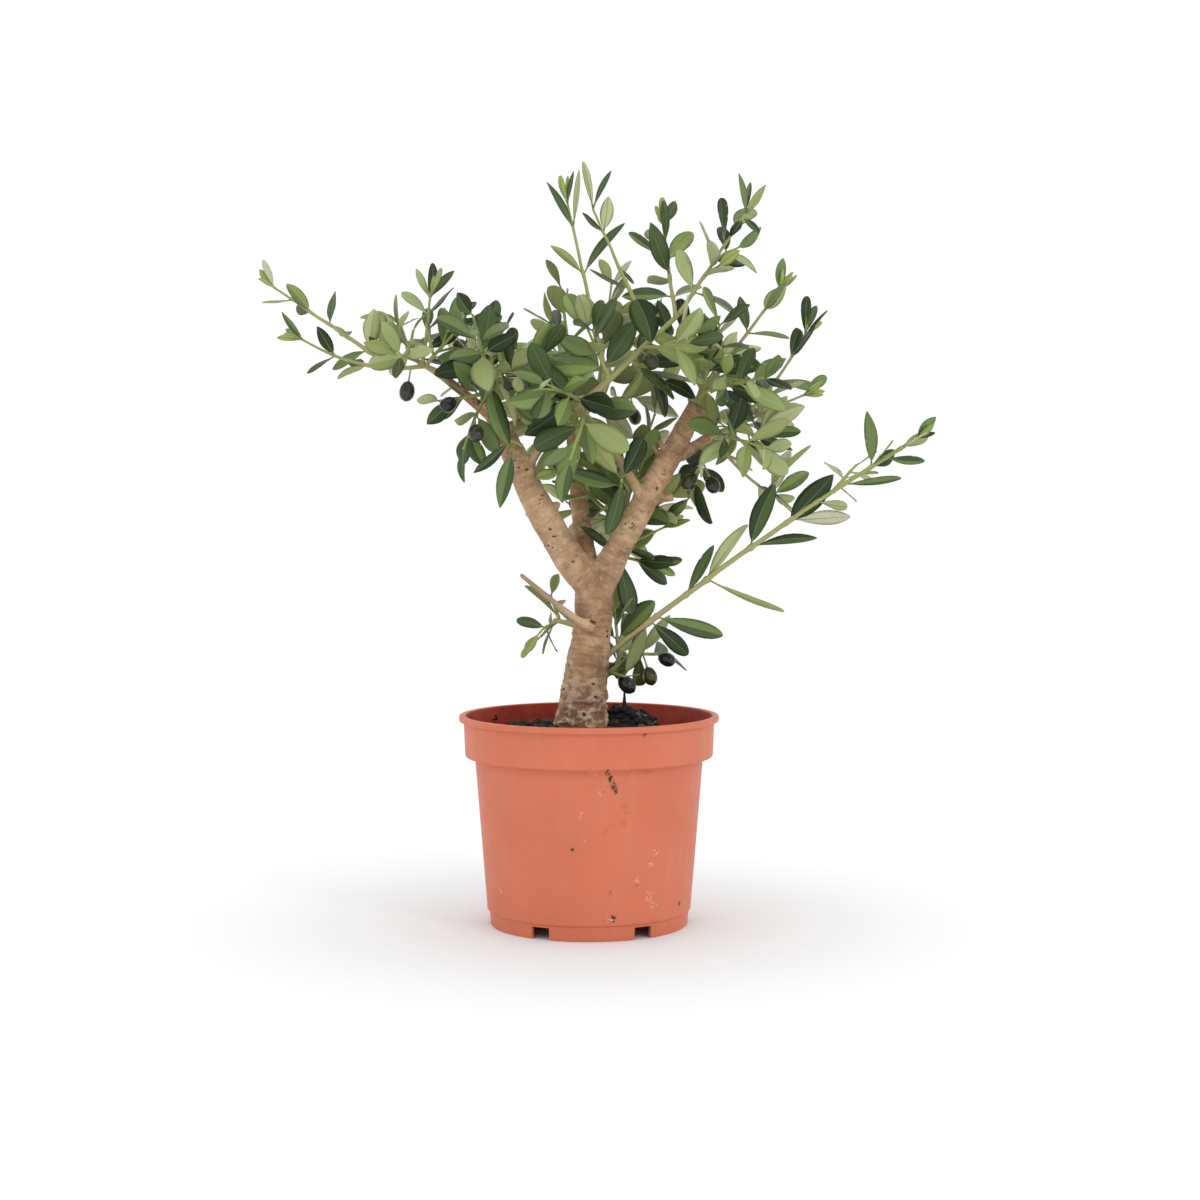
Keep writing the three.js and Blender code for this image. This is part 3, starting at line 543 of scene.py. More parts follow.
# A listed large leaf: it reaches from its twig and turns one side to the front
def blade_at(twig, b, key):
    length = np.linalg.norm(b.reach)
    direction = b.reach / length
    normal = square(np.array([0, -BLADE.front * b.shows, BLADE.up]), direction)
    return new_leaf(twig, b.at, 0, key, direction, normal, length, b.width, BLADE.curl, True)


PROBES_ALONG = np.array([0.2, 0.35, 0.5, 0.65, 0.8, 0.92, 1] + [0.3, 0.45, 0.6, 0.75] * 2)
PROBES_ACROSS = np.array([0] * 7 + [-0.9] * 4 + [0.9] * 4)


def leaf_probes(leaf):
    a = PROBES_ALONG[:, None]
    b = PROBES_ACROSS[:, None]
    down = leaf.normal * (leaf.curl * leaf.length * a * a)
    return leaf.root + leaf.direction * a * leaf.length + leaf.side * b * leaf.width / 2 - down


def keep_leaf(leaf):
    leaf.twig.leaves.append(leaf)
    space.take(leaf_probes(leaf), LEAF_CLEAR, Space.LEAF)


# Leaves in pairs, each pair a quarter turn from the last. One that would touch is turned or left out.
def grow_leaves(twig):
    phase = math.pi * chance(twig.key, 7)
    for i in range(twig.pairs + 1):
        t = min(1, mix(twig.bare, 1, i / twig.pairs))
        for half in (0, 1):
            key = twig.key * TWIG_KEYS + i * 2 + half
            if chance(key, 8) < LEAF_LOSS:
                continue
            angle = phase + math.pi * half + i * math.pi / 2 + LEAF_SWING * (chance(key, 6) - 0.5)
            for turn in LEAF_TURNS:
                leaf = leaf_at(twig, t, angle + turn, key, twig.leaf)
                probes = leaf_probes(leaf)
                if outside(probes) or space.hits(probes, LEAF_CLEAR, [twig.id]):
                    continue
                keep_leaf(leaf)
                break


# Olives on their stalks. One that would touch is left out.
def grow_fruit(twigs, fruit):
    for i, f in enumerate(fruit):
        twig = twigs[f.on]
        root = twig.path.at(f.at)
        hang = unit(f.hang)
        middle = root + f.hang
        rounds = middle + hang * np.array([[-1], [1]]) * (OLIVE.length - OLIVE.width) / 2
        if space.hits(rounds, OLIVE.width / 2, [twig.id]):
            continue
        key = twig.id * FRUIT_KEYS + i
        twig.olives.append(SimpleNamespace(root=root, hang=hang, middle=middle, key=key))
        space.take(rounds, OLIVE.width / 2, Space.LEAF)


def take_twig(twig):
    space.take(twig.path.at(probe_steps(twig.path)), twig.radii[0] + TWIG_CLEAR, twig.id)


def new_twig(number, key, path, radii, pairs, leaf, width, bare, order, slim):
    return SimpleNamespace(
        id=number, key=key, path=path, radii=radii, pairs=pairs, leaf=leaf, width=width, bare=bare,
        order=order, slim=slim, leaves=[], olives=[],
    )


# A finer twig in the axil of a leaf, with two pairs of smaller leaves. It grows only where there is room.
SPUR_RADII = (1.1, 0.7)
SPUR_SHARE = 0.4
SPUR_LAST = 0.9
SPUR_SWING = (-0.5, 0.5)
SPUR_AIM = SimpleNamespace(along=0.8, out=0.7, up=0.25)
SPUR_LENGTHS = (14, 30)
SPUR_LEAF = 0.9
SPUR_BARE = 0.55
SPUR_PROBES = np.linspace(0.5, 1, 4)
SPUR_KEYS = 7919


def grow_spur(leaf, number):
    twig = leaf.twig
    if chance(leaf.key, 60) > SPUR_SHARE or leaf.at > SPUR_LAST:
        return None
    angle = leaf.angle + between(SPUR_SWING, chance(leaf.key, 61))
    axis, out = node_frame(twig.path, leaf.at, angle)
    aim = unit(axis * SPUR_AIM.along + out * SPUR_AIM.out + UP * SPUR_AIM.up)
    path = twig_path(leaf.root, aim * between(SPUR_LENGTHS, chance(leaf.key, 62)), 1)
    points = path.at(SPUR_PROBES)
    if outside(points) or space.hits(points, SPUR_RADII[0] + TWIG_CLEAR, [twig.id]):
        return None
    size = twig.leaf * SPUR_LEAF
    spur = new_twig(number, leaf.key + SPUR_KEYS, path, SPUR_RADII, 1, size, twig.width, SPUR_BARE, 2, False)
    take_twig(spur)
    grow_leaves(spur)
    return spur if spur.leaves else None


# The twigs of one mass: the stem and every shoot, without leaves
def grow_twigs(m, number):
    limb = Curve(LIMBS[m.limb]["path"])
    tip_radius = LIMBS[m.limb]["radii"][-1]
    tip = limb.at(1) - limb.tangent(1) * STEM_SUNK
    twigs = []
    for order, s in enumerate(m.shoots):
        if order:
            foot = twigs[s.on].path.at(s.at)
            path = twig_path(foot, s.reach, s.bow)
            radii = (SHOOT_RADIUS + path.length() * SHOOT_GAIN, SHOOT_TIP)
            bare = SHOOT_BARE
        else:
            foot = tip if m.foot is None else np.array(m.foot, float)
            path = twig_path(foot, s.reach, s.bow)
            thick = m.radius or min(STEM_RADIUS, tip_radius * STEM_SHARE)
            radii = (thick, thick * STEM_TAPER)
            bare = STEM_BARE
        width = SLIM if s.slim else m.width
        rank = min(order, 1)
        twig = new_twig(number + order, s.seed, path, radii, s.pairs, s.leaf, width, bare, rank, s.slim)
        twigs.append(twig)
        take_twig(twig)
    return twigs


def probe_steps(path):
    return np.linspace(0, 1, math.ceil(path.length() / LIMB_PROBE) + 1)


def take_limbs():
    for limb in LIMBS.values():
        path = Curve(limb["path"])
        t = probe_steps(path)
        space.take(path.at(t), along(limb["radii"], t) + LIMB_CLEAR, Space.LIMB)
        for at, turn, length, radius in limb.get("stubs", ()):
            line = stub_path(path, at, turn, length)
            space.take(line.at(probe_steps(line)), radius * STUB_FLARE + LIMB_CLEAR, Space.LIMB)


# All the twigs come first, so that every leaf keeps clear of every twig, then olives, leaves and finer twigs
def grow():
    take_limbs()
    grown = {}
    number = 0
    for name, m in MASSES.items():
        grown[name] = grow_twigs(m, number)
        number += len(m.shoots)
    for order, (name, twigs) in enumerate(grown.items()):
        for i, b in enumerate(MASSES[name].blades):
            keep_leaf(blade_at(twigs[b.on], b, order * MASS_KEYS + i))
    for name, twigs in grown.items():
        grow_fruit(twigs, MASSES[name].fruit)
    for twig in [twig for twigs in grown.values() for twig in twigs if twig.pairs]:
        grow_leaves(twig)
    for twigs in grown.values():
        for leaf in [leaf for twig in twigs if not twig.slim for leaf in twig.leaves]:
            spur = grow_spur(leaf, number)
            if spur:
                number += 1
                twigs.append(spur)
    return grown


class Heap:
    """Collects the vertices and faces of one joined piece, with a material slot for each face."""

    def __init__(self):
        self.places = []
        self.faces = []
        self.looks = []
        self.count = 0

    def add(self, places, faces, looks):
        self.places.append(np.asarray(places, float).reshape(-1, 3))
        self.faces += [[i + self.count for i in face] for face in faces]
        self.looks += list(looks)
        self.count += len(self.places[-1])

    def piece(self, name, materials):
        return make_piece(name, np.concatenate(self.places), self.faces, self.looks, materials)


def make_piece(name, places, faces, looks, materials):
    mesh = bpy.data.meshes.new(name)
    mesh.from_pydata((np.asarray(places) * MM).tolist(), [], faces)
    for m in materials:
        mesh.materials.append(m)
    if looks is not None:
        mesh.polygons.foreach_set("material_index", np.asarray(looks, np.int32))
    mesh.shade_smooth()
    mesh.update()
    return add_object(name, mesh)


def add_object(name, data):
    obj = bpy.data.objects.new(name, data)
    bpy.context.scene.collection.objects.link(obj)
    return obj


# The mesh of an object with its modifiers applied
def applied_mesh(obj):
    return bpy.data.meshes.new_from_object(obj.evaluated_get(bpy.context.evaluated_depsgraph_get()))


def add_mask(mesh, name, values):
    mesh.attributes.new(name, "FLOAT", "POINT").data.foreach_set("value", values.astype(np.float32))


# Faces of rings in a row: quads between the rings, and a fan at each end. The middle points of the two fans
# come after the rings. flip turns the faces over.
def ring_faces(rings, sides, flip=False):
    last = (rings - 1) * sides
    pairs = [(j, (j + 1) % sides) for j in range(sides)]
    faces = [[i + j, i + sides + j, i + sides + k, i + k] for i in range(0, last, sides) for j, k in pairs]
    for j, k in pairs:
        faces += [[rings * sides, j, k], [rings * sides + 1, last + k, last + j]]
    return [[face[0], *face[:0:-1]] for face in faces] if flip else faces


# A tube along points, closed at both ends
def tube(points, radii, sides):
    tangents = unit(np.gradient(points, axis=0))
    first = across(unit(points[-1] - points[0]))
    u = unit(first - tangents * (tangents @ first)[:, None])
    w = np.cross(u, tangents)
    angles = np.linspace(0, 2 * math.pi, sides, endpoint=False)
    ring = u[:, None] * np.cos(angles)[None, :, None] + w[:, None] * np.sin(angles)[None, :, None]
    places = points[:, None] + ring * np.asarray(radii)[:, None, None]
    places = np.concatenate([places.reshape(-1, 3), points[:1], points[-1:]])
    return places, ring_faces(len(points), sides)


# Materials
class Look:
    """A node material that is built up by name."""

    def __init__(self, name, colour, roughness, **sockets):
        self.material = bpy.data.materials.new(name)
        self.material.use_nodes = True
        self.tree = self.material.node_tree
        self.shader = self.tree.nodes["Principled BSDF"]
        self.shader.inputs["Base Color"].default_value = (*colour, 1)
        self.shader.inputs["Roughness"].default_value = roughness
        for socket, value in sockets.items():
            self.shader.inputs[socket.replace("_", " ")].default_value = value

    def node(self, kind, inputs=None, **settings):
        made = self.tree.nodes.new(kind)
        for key, value in settings.items():
            setattr(made, key, value)
        for key, value in (inputs or {}).items():
            self.feed(made.inputs[key], value)
        return made

    def feed(self, socket, value):
        if isinstance(value, bpy.types.NodeSocket):
            self.tree.links.new(value, socket)
        else:
            socket.default_value = value

    def place(self):
        return self.node("ShaderNodeTexCoord").outputs["Object"]

    def noise(self, scale, detail=4.0, rough=0.55, place=None, stretch=(1, 1, 1)):
        vector = self.node("ShaderNodeMapping", {"Vector": place or self.place(), "Scale": stretch})
        values = {"Vector": vector.outputs[0], "Scale": scale, "Detail": detail, "Roughness": rough}
        return self.node("ShaderNodeTexNoise", values).outputs["Fac"]

    def band(self, value, low, high, to_low=0.0, to_high=1.0):
        values = {"Value": value, "From Min": low, "From Max": high, "To Min": to_low, "To Max": to_high}
        return self.node("ShaderNodeMapRange", values, interpolation_type="SMOOTHSTEP").outputs[0]

    # Patches of noise: the band of it that shows, and its grain
    def patches(self, low, high, *grain, **how):
        return self.band(self.noise(*grain, **how), low, high)

    def math(self, operation, a, b):
        return self.node("ShaderNodeMath", {0: a, 1: b}, operation=operation).outputs[0]

    def blend(self, factor, a, b):
        made = self.node("ShaderNodeMix", data_type="RGBA")
        self.feed(made.inputs["Factor"], factor)
        for socket, value in ((made.inputs[6], a), (made.inputs[7], b)):
            self.feed(socket, value if isinstance(value, bpy.types.NodeSocket) else (*value, 1))
        return made.outputs[2]

    def part(self, mask, amount):
        return self.math("MULTIPLY", mask, amount)

    # Lays each colour over the last, where its mask is
    def over(self, colour, *layers):
        for mask, tint in layers:
            colour = self.blend(mask, colour, tint)
        return colour

    def mask(self, name, output="Fac"):
        return self.node("ShaderNodeAttribute", attribute_name=name).outputs[output]

    def finish(self, colour=None, roughness=None, bump=None, depth=0.0005, strength=0.5):
        if colour:
            self.feed(self.shader.inputs["Base Color"], colour)
        if roughness:
            self.feed(self.shader.inputs["Roughness"], roughness)
        if bump:
            made = self.node("ShaderNodeBump", {"Height": bump, "Strength": strength, "Distance": depth})
            self.feed(self.shader.inputs["Normal"], made.outputs[0])
        return self.material


# Leaf colours are plain ones, dealt out by spray
UPPERS = {
    "deep": (0.026, 0.046, 0.013),
    "dark": (0.062, 0.098, 0.030),
    "green": (0.150, 0.212, 0.064),
    "bright": (0.244, 0.326, 0.096),
    "olive": (0.292, 0.342, 0.125),
    "soft": (0.372, 0.440, 0.195),
}
UNDERS = {
    # shade is a painted shade tone for undersides deep in the crown or low at the trunk
    "shade": (0.185, 0.215, 0.078),
    "moss": (0.325, 0.358, 0.130),
    "sage": (0.410, 0.445, 0.205),
    "pale": (0.475, 0.500, 0.265),
    "silver": (0.520, 0.525, 0.350),
}
RIBS = {"rib": (0.350, 0.395, 0.155), "rib_dark": (0.140, 0.185, 0.075)}
YOUNG = {"young": (0.310, 0.380, 0.090)}

# The roughness and the gloss of each kind
LEAF_FINISHES = ((UPPERS, 0.4, 0.26), (UNDERS, 0.65, 0.2), (RIBS, 0.5, 0.5), (YOUNG, 0.45, 0.5))
UNDER_START = len(UPPERS)
RIB_START = UNDER_START + len(UNDERS)
YOUNG_LOOK = RIB_START + len(RIBS)


def leaf_materials():
    return [
        Look(f"leaf_{name}", colour, roughness, Specular_IOR_Level=gloss).finish()
        for colours, roughness, gloss in LEAF_FINISHES for name, colour in colours.items()
    ]


# A leaf is a flattened tube: a stalk, then a blade with a rib sunk in its upper side and raised below
LEAF_STATIONS = np.array([0.03, 0.09, 0.12, 0.18, 0.28, 0.40, 0.52, 0.64, 0.76, 0.86, 0.94, 0.98])
STALK_END = 0.1
STALK_LAST = STALK_END + 0.03
STALK_HALF = 0.75
EDGE_HALF = 0.25
TIP_HALF = 0.12
LEAST_HALF = 0.2
RIB_HALVES = (0.34, 0.12)
RIB_MOST = 0.45
RIB_SUNK = 0.12
RIB_THICK = 0.75
BLADE_THICK = 0.55
BLADE_SWELL = 0.16
STALK_RIB = (0.5, -0.7)
STALK_SIDE = (0.35, -0.55)
WAVES = 9
LEAF_SUNK = 0.5

# The number of the draw, and the least and greatest value: how pointed the tip and the base are, how far
# the blade folds, droops, twists, bends sideways and waves
LEAF_FORM = dict(
    tip=(20, 0.45, 0.95), base=(21, 0.7, 1), fold=(22, 0.1, 0.4), droop=(23, 0, 0.22), twist=(24, 0.2, 0.6),
    sway=(25, -0.05, 0.05), wave=(26, 0, 0.05), phase=(27, 0, 6), hand=(28, 0, 1),
)

# The ring round a blade: how far across, as a share of the half width or of the rib, and 1 for the underside
RING_POINTS = (
    (-1, False, 0), (-0.55, False, 0), (-1, True, 0), (1, True, 0), (0.55, False, 0),
    (1, False, 0), (0.55, False, 1), (1, True, 1), (-1, True, 1), (-0.55, False, 1),
)
RING = len(RING_POINTS)

# What each face of the ring is: 0 and 3 the upper halves, 1 the underside, 2 the rib
RING_ROLES = (0, 0, 2, 3, 3, 1, 1, 2, 1, 1)
RIB_ROLE = 2


def leaf_meshes(leaves):
    get = lambda name: np.array([getattr(leaf, name) for leaf in leaves])[:, None]
    luck = lambda draw: np.array([chance(leaf.key, draw) for leaf in leaves])[:, None]
    root, direction, normal, side = (get(k) for k in ("root", "direction", "normal", "side"))
    length, width, curl = (get(k) for k in ("length", "width", "curl"))
    form = SimpleNamespace(**{k: mix(low, high, luck(draw)) for k, (draw, low, high) in LEAF_FORM.items()})
    a = np.append(LEAF_STATIONS, 1.0)[None]
    x = np.clip((a - STALK_END) / (1 - STALK_END), 0, 1)
    widest = form.base / (form.base + form.tip)
    peak = widest**form.base * (1 - widest) ** form.tip
    half = x**form.base * (1 - x) ** form.tip / peak * width / 2
    stalk = a <= STALK_LAST
    half = np.maximum(half, np.where(a < 1, np.where(stalk, STALK_HALF, EDGE_HALF), TIP_HALF))
    wide = np.maximum(half, LEAST_HALF)
    rib = np.minimum(mix(*RIB_HALVES, x), half * RIB_MOST)
    swell = BLADE_SWELL * (-1.0) ** np.arange(a.shape[1])[None] * np.where(stalk, 0, 1)
    ripple = form.wave * half * np.sin(WAVES * a + form.phase)
    ys, zs = [], []
    for share, at_rib, under in RING_POINTS:
        y = (rib if at_rib else half) * share
        r = np.abs(y)
        lift = form.fold * r - form.droop * r * r / wide + ripple * (r / wide) ** 2
        if at_rib:
            lift = lift + np.where(stalk, STALK_RIB[under], -RIB_SUNK - under * RIB_THICK)
        elif abs(share) < 1:
            lift = lift + np.where(stalk, STALK_SIDE[under], swell - under * BLADE_THICK)
        ys.append(y)
        zs.append(lift)
    y, z = (np.stack(k, axis=2)[..., None] for k in (ys, zs))
    turn = (form.twist * np.where(form.hand < 0.5, -1, 1) * a)[..., None]
    upright = unit(normal + direction * (2 * curl * a)[..., None])
    side_now = side * np.cos(turn) + upright * np.sin(turn)
    normal_now = upright * np.cos(turn) - side * np.sin(turn)
    middle = root + direction * (a * length)[..., None] - normal * (curl * length * a * a)[..., None]
    middle = middle + side * (form.sway * length * np.sin(math.pi * a))[..., None]
    places = middle[:, :, None] + side_now[:, :, None] * y + normal_now[:, :, None] * z
    body = places[:, :-1].reshape(len(leaves), -1, 3)
    return np.concatenate([body, root - direction * LEAF_SUNK, middle[:, -1:]], axis=1)


# The faces of one leaf, and what each of them is
def leaf_faces():
    stations = len(LEAF_STATIONS)
    roles = [
        RIB_ROLE if end <= STALK_LAST else role for end in LEAF_STATIONS[1:] for role in RING_ROLES
    ]
    roles += [part for role in RING_ROLES for part in (RIB_ROLE, role)]
    return ring_faces(stations, RING, True), roles


# Each spray has its own tone, and its leaves stray a step from it. A leaf's two halves may differ a step:
# painted light and shade, as if the folded blade caught the light on one half.
SPRAY_TONES = (0, 1, 1, 1, 2, 2, 3, 4, 5)
BLADE_TONES = (0, 1, 1, 0, 1, 2)
OWN_TONE = 0.45
TONE_STEPS = (-1, 0, 1)
FOLD_SHADE_STEPS = (0, 0, 1, -1)
DARK_RIBS = 3

# Painted shade: darker leaves are likelier deep in the crown, or low at the trunk, where shade falls
CROWN_MIDDLE = np.array([0, 10, 455])
CROWN_HALF = np.array([190, 110, 125])
CROWN_SHADE = 0.85
LOW_TOP = 300
LOW_REACH = 70
LOW_SHADE = 0.7
SHADE_UPPERS = 3
SHADE_UNDERS = 2

# A short leaf at the very tip of a shoot is young
YOUNG_AT = 0.97
YOUNG_LENGTH = 26


def painted_shade_share(root):
    if root[2] < LOW_TOP and root[0] < LOW_REACH:
        return LOW_SHADE
    return CROWN_SHADE * max(0, 1 - np.linalg.norm((root - CROWN_MIDDLE) / CROWN_HALF))


# Looks of a leaf: one half of its upper side, its underside, its rib and the other half, which may be a step
# lighter or darker as painted light and shade on the fold
def leaf_looks(leaf):
    pick = lambda tones, draw, key=leaf.key: tones[int(chance(key, draw) * len(tones))]
    nearest = lambda tone: min(max(tone, 0), len(UPPERS) - 1)
    young = leaf.at > YOUNG_AT and leaf.twig.order and leaf.length < YOUNG_LENGTH
    if leaf.large:
        upper = pick(BLADE_TONES, 70)
    else:
        own = chance(leaf.key, 73) < OWN_TONE
        tone = pick(SPRAY_TONES, 70, leaf.key if own else leaf.twig.key)
        upper = nearest(tone + pick(TONE_STEPS, 71))
    under = 1 + int(chance(leaf.key, 72) * (len(UNDERS) - 1))
    # Painted shade: a leaf deep in the crown or low at the trunk takes a darker tone on both sides
    if chance(leaf.key, 75) < painted_shade_share(leaf.root):
        upper = min(upper, int(chance(leaf.key, 76) * SHADE_UPPERS))
        under = int(chance(leaf.key, 77) * SHADE_UNDERS)
    rib = RIB_START + (1 if upper < DARK_RIBS else 0)
    if young:
        return (YOUNG_LOOK, YOUNG_LOOK, rib, YOUNG_LOOK)
    # The other half of the upper side takes a painted light or shade step
    return (upper, UNDER_START + under, rib, nearest(upper + pick(FOLD_SHADE_STEPS, 74)))


# Twigs: green when young, tan to brown where they leave the limbs, and thicker at each node
STEMS = {
    "stem_young": (0.300, 0.340, 0.095),
    "stem_green": (0.345, 0.345, 0.125),
    "stem_tan": (0.390, 0.325, 0.150),
    "stem_brown": (0.260, 0.185, 0.115),
}
STEM_ROUGHNESS = 0.6
TWIG_SIDES = 8
TWIG_STEP = 3.0
TWIG_RINGS = 5
NODE_SWELL = 0.28
NODE_REACH = 2.2
FOOT_SWELL = 0.25
FOOT_REACH = 4
TWIG_WAVER = 0.9
WAVER_SIZE = 0.05
STEM_AGES = {True: (2.0, 0.2), False: (1.9, 0.2)}
SHOOT_AGE = 1.5
SHOOT_YOUNGER = 0.4
SHOOT_AGING = 0.7


def add_twig(heap, twig):
    length = twig.path.length()
    t = np.linspace(0, 1, max(TWIG_RINGS, math.ceil(length / TWIG_STEP)))
    points = twig.path.at(t)
    radii = mix(*twig.radii, t)
    for node in {leaf.at for leaf in twig.leaves}:
        radii = radii * (1 + NODE_SWELL * np.exp(-(((t - node) * length / NODE_REACH) ** 2)))
    radii = radii * (1 + FOOT_SWELL * np.exp(-((t * length / FOOT_REACH) ** 2)))
    start = Vector((twig.key, 0, 0))
    waver = np.array([noise.noise_vector(Vector(p) * WAVER_SIZE + start) for p in points])
    points = points + waver * TWIG_WAVER * np.sin(math.pi * t)[:, None]
    if twig.order:
        age = mix(SHOOT_AGE - SHOOT_YOUNGER * twig.order, 0, t[:-1] ** SHOOT_AGING)
    else:
        age = mix(*STEM_AGES[twig.slim], t[:-1])
    age = np.clip(np.round(age + chance(twig.key, 80) - 0.5), 0, len(STEMS) - 1).astype(int)
    looks = np.repeat(age, TWIG_SIDES).tolist() + [age[0], age[-1]] * TWIG_SIDES
    heap.add(*tube(points, radii, TWIG_SIDES), looks)


# Small unopened leaves close round the tip of a shoot: the length and the lean of each pair
TIP_LEAVES = ((27, 0.3), (17, 0.14))
TIP_KEYS = 50
TIP_LEAN = 0.3
TIP_SIZES = (0.75, 1.2)
TIP_WIDTH = 0.27
TIP_CURL = 0.05


def tip_leaves(twig):
    made = []
    root = twig.path.at(1.0)
    for ring, (length, spread) in enumerate(TIP_LEAVES):
        for half in (0, 1):
            key = twig.key * TWIG_KEYS + TIP_KEYS + ring * 2 + half
            angle = math.pi * (chance(twig.key, 7) + half + (twig.pairs + 1 + ring) / 2)
            axis, out = node_frame(twig.path, 1.0, angle)
            lean = spread + TIP_LEAN * chance(key, 1)
            direction = axis * math.cos(lean) + out * math.sin(lean)
            normal = facing(root, direction, axis * math.sin(lean) - out * math.cos(lean), True)
            size = length * between(TIP_SIZES, chance(key, 3))
            width = size * TIP_WIDTH
            made.append(new_leaf(twig, 1.0, angle, key, direction, normal, size, width, TIP_CURL))
    return [leaf for leaf in made if not outside(leaf_probes(leaf))]


# An olive: plump, a little pointed, with a dimple at its stalk
OLIVE_RINGS = 14
OLIVE_SIDES = 20
OLIVE_SIZES = (0.82, 1.05)
OLIVE_PLUMP = 0.92
OLIVE_TAPER = 0.06
OLIVE_DIMPLE = 0.7
OLIVE_POINT = 0.6
OLIVE_STALK = SimpleNamespace(radius=0.75, flare=0.5, flare_power=6, lift=1.2, rings=7)


def add_olive(heap, olive, look, stalk_look):
    grown = between(OLIVE_SIZES, chance(olive.key, 1))
    u = across(olive.hang)
    w = np.cross(olive.hang, u)
    phi = np.linspace(0, math.pi, OLIVE_RINGS + 1)[1:-1]
    theta = np.linspace(0, 2 * math.pi, OLIVE_SIDES, endpoint=False)
    tall, wide = (k / 2 * grown for k in (OLIVE.length, OLIVE.width))
    out = np.sin(phi) ** OLIVE_PLUMP * wide * (1 - OLIVE_TAPER * np.cos(phi))
    ring = u * np.cos(theta)[:, None] + w * np.sin(theta)[:, None]
    down = olive.hang * (-np.cos(phi) * tall)[:, None, None]
    places = olive.middle + down + ring[None] * out[:, None, None]
    head = olive.middle - olive.hang * (tall - OLIVE_DIMPLE)
    end = olive.middle + olive.hang * (tall + OLIVE_POINT)
    faces = ring_faces(len(phi), OLIVE_SIDES)
    heap.add(np.concatenate([places.reshape(-1, 3), [head, end]]), faces, [look] * len(faces))
    bend = mix(olive.root, head, 0.5) + UP * OLIVE_STALK.lift
    t = np.linspace(0, 1, OLIVE_STALK.rings)
    stalk = Curve([olive.root, bend, head + olive.hang]).at(t)
    radii = OLIVE_STALK.radius + OLIVE_STALK.flare * t**OLIVE_STALK.flare_power
    places, faces = tube(stalk, radii, TWIG_SIDES)
    heap.add(places, faces, [stalk_look] * len(faces))


# Bark: the limbs run together into one skin
BARK_VOXEL = 1.0
BARK_SINK = 4
SINK_FLARE = 1.04
LIMB_RINGS = 40
LIMB_SIDES = 40
STUB_RINGS = 6
STUB_SIDES = 16
SMOOTHING = 9

# Its relief: broad swellings and small lumps, creases round the limb, and flutes and flakes at the foot.
# SKIN is how far a pattern runs along the limb and round it.
SPINE_STEPS = 60
LIMB_APART = 400
SEARCH_PART = 4000
FOOT_TOP = 248
FOOT_FADE = 70
FOOT_POWER = 1.5
SKIN = SimpleNamespace(crease=(3.4, 15), flute=(34, 5.5), flake=(9, 9, 4.5))
SWELLING = (0.9, 24)
LUMPS = (0.4, 7)
FOOT_LUMPS = (1.1, 10)
CREASE_HEIGHT = 0.3
CREASE_GRAIN = (0.9, 2.1, 3)
FLUTE_HEIGHT = 1.3
FLUTE_GRAIN = (0.8, 2.2, 3)
FLAKE_HEIGHT = 0.7
FLAKE_STEEP = 4
THIN = SimpleNamespace(radius=2, fade=8, least=0.15)
CUT_DEPTH = -1.2

# Knots: the limb, how far along, the turn round it, the radius and the height
KNOTS = (
    ("trunk", 0.09, -84, 5.5, 1.9), ("trunk", 0.05, -128, 5, 1.6), ("trunk", 0.2, -62, 6, 2.0),
    ("trunk", 0.28, -70, 5, 1.3), ("trunk", 0.22, -150, 6, 1.5), ("trunk", 0.66, -90, 7, 2.2),
    ("trunk", 0.35, 60, 7, 1.8), ("trunk", 0.6, 150, 6, 1.6), ("bough_left", 0.33, -95, 4, 1.1),
    ("bough_left", 0.62, -60, 4, 1.2), ("bough_right", 0.62, -70, 4.5, 1.3),
    ("bough_right", 0.42, -120, 4, 1.0), ("bough_right", 0.35, 70, 5, 1.4),
    ("bough_left", 0.5, 100, 5, 1.4), ("bough_back", 0.5, 60, 4, 1.0),
)
KNOT = SimpleNamespace(tall=1.5, rim=0.6, steep=4, dent=0.6, dent_radius=0.3, dark=0.85, dark_radius=0.45)

# Dark specks come in groups, at these scars first and then anywhere on the first limbs
SCARS = (
    ("bough_left", 0.49, -52), ("bough_left", 0.45, -60), ("bough_left", 0.15, -90),
    ("bough_left", 0.27, -112), ("bough_left", 0.66, -120), ("bough_right", 0.69, -75),
    ("bough_right", 0.5, -70), ("bough_right", 0.42, -88), ("trunk", 0.62, -58),
)
SPECKS = 330
SPECK_GROUP = 6
SPECK_LIMBS = 4
SPECK_LOW = 1.6
SPECK_RADII = (0.8, 2.3)
SCAR_RADII = (1.4, 3.1)
SPECK = SimpleNamespace(along=0.05, turn=50, tall=(1.4, 3.2), height=0.25, dark=(0.35, 0.9))
RAGGED = SimpleNamespace(amount=0.9, size=3.5, grain=(0.8, 2.0, 3), range=(0.5, 2))

# Where the bark is pale: from the fork up, most on the left bough, partly the bark's own tone and partly
# painted light from the left. The pruned twig and the slim limb in the centre change from foot to tip.
PALE_AND_LIT = SimpleNamespace(bottom=240, rise=50, top=420, fall=80, limbs=3, share=0.55)
BARE_TWIG = SimpleNamespace(length=60, least=0.05)
YOUNG_LIMB = 70


def limb_points(name):
    path = Curve(LIMBS[name]["path"])
    t = np.linspace(0, 1, LIMB_RINGS)
    points, radii = path.at(t), along(LIMBS[name]["radii"], t)
    if name == "trunk":
        points = np.concatenate([[points[0] - UP * BARK_SINK], points])
        radii = np.concatenate([[radii[0] * SINK_FLARE], radii])
    return points, radii


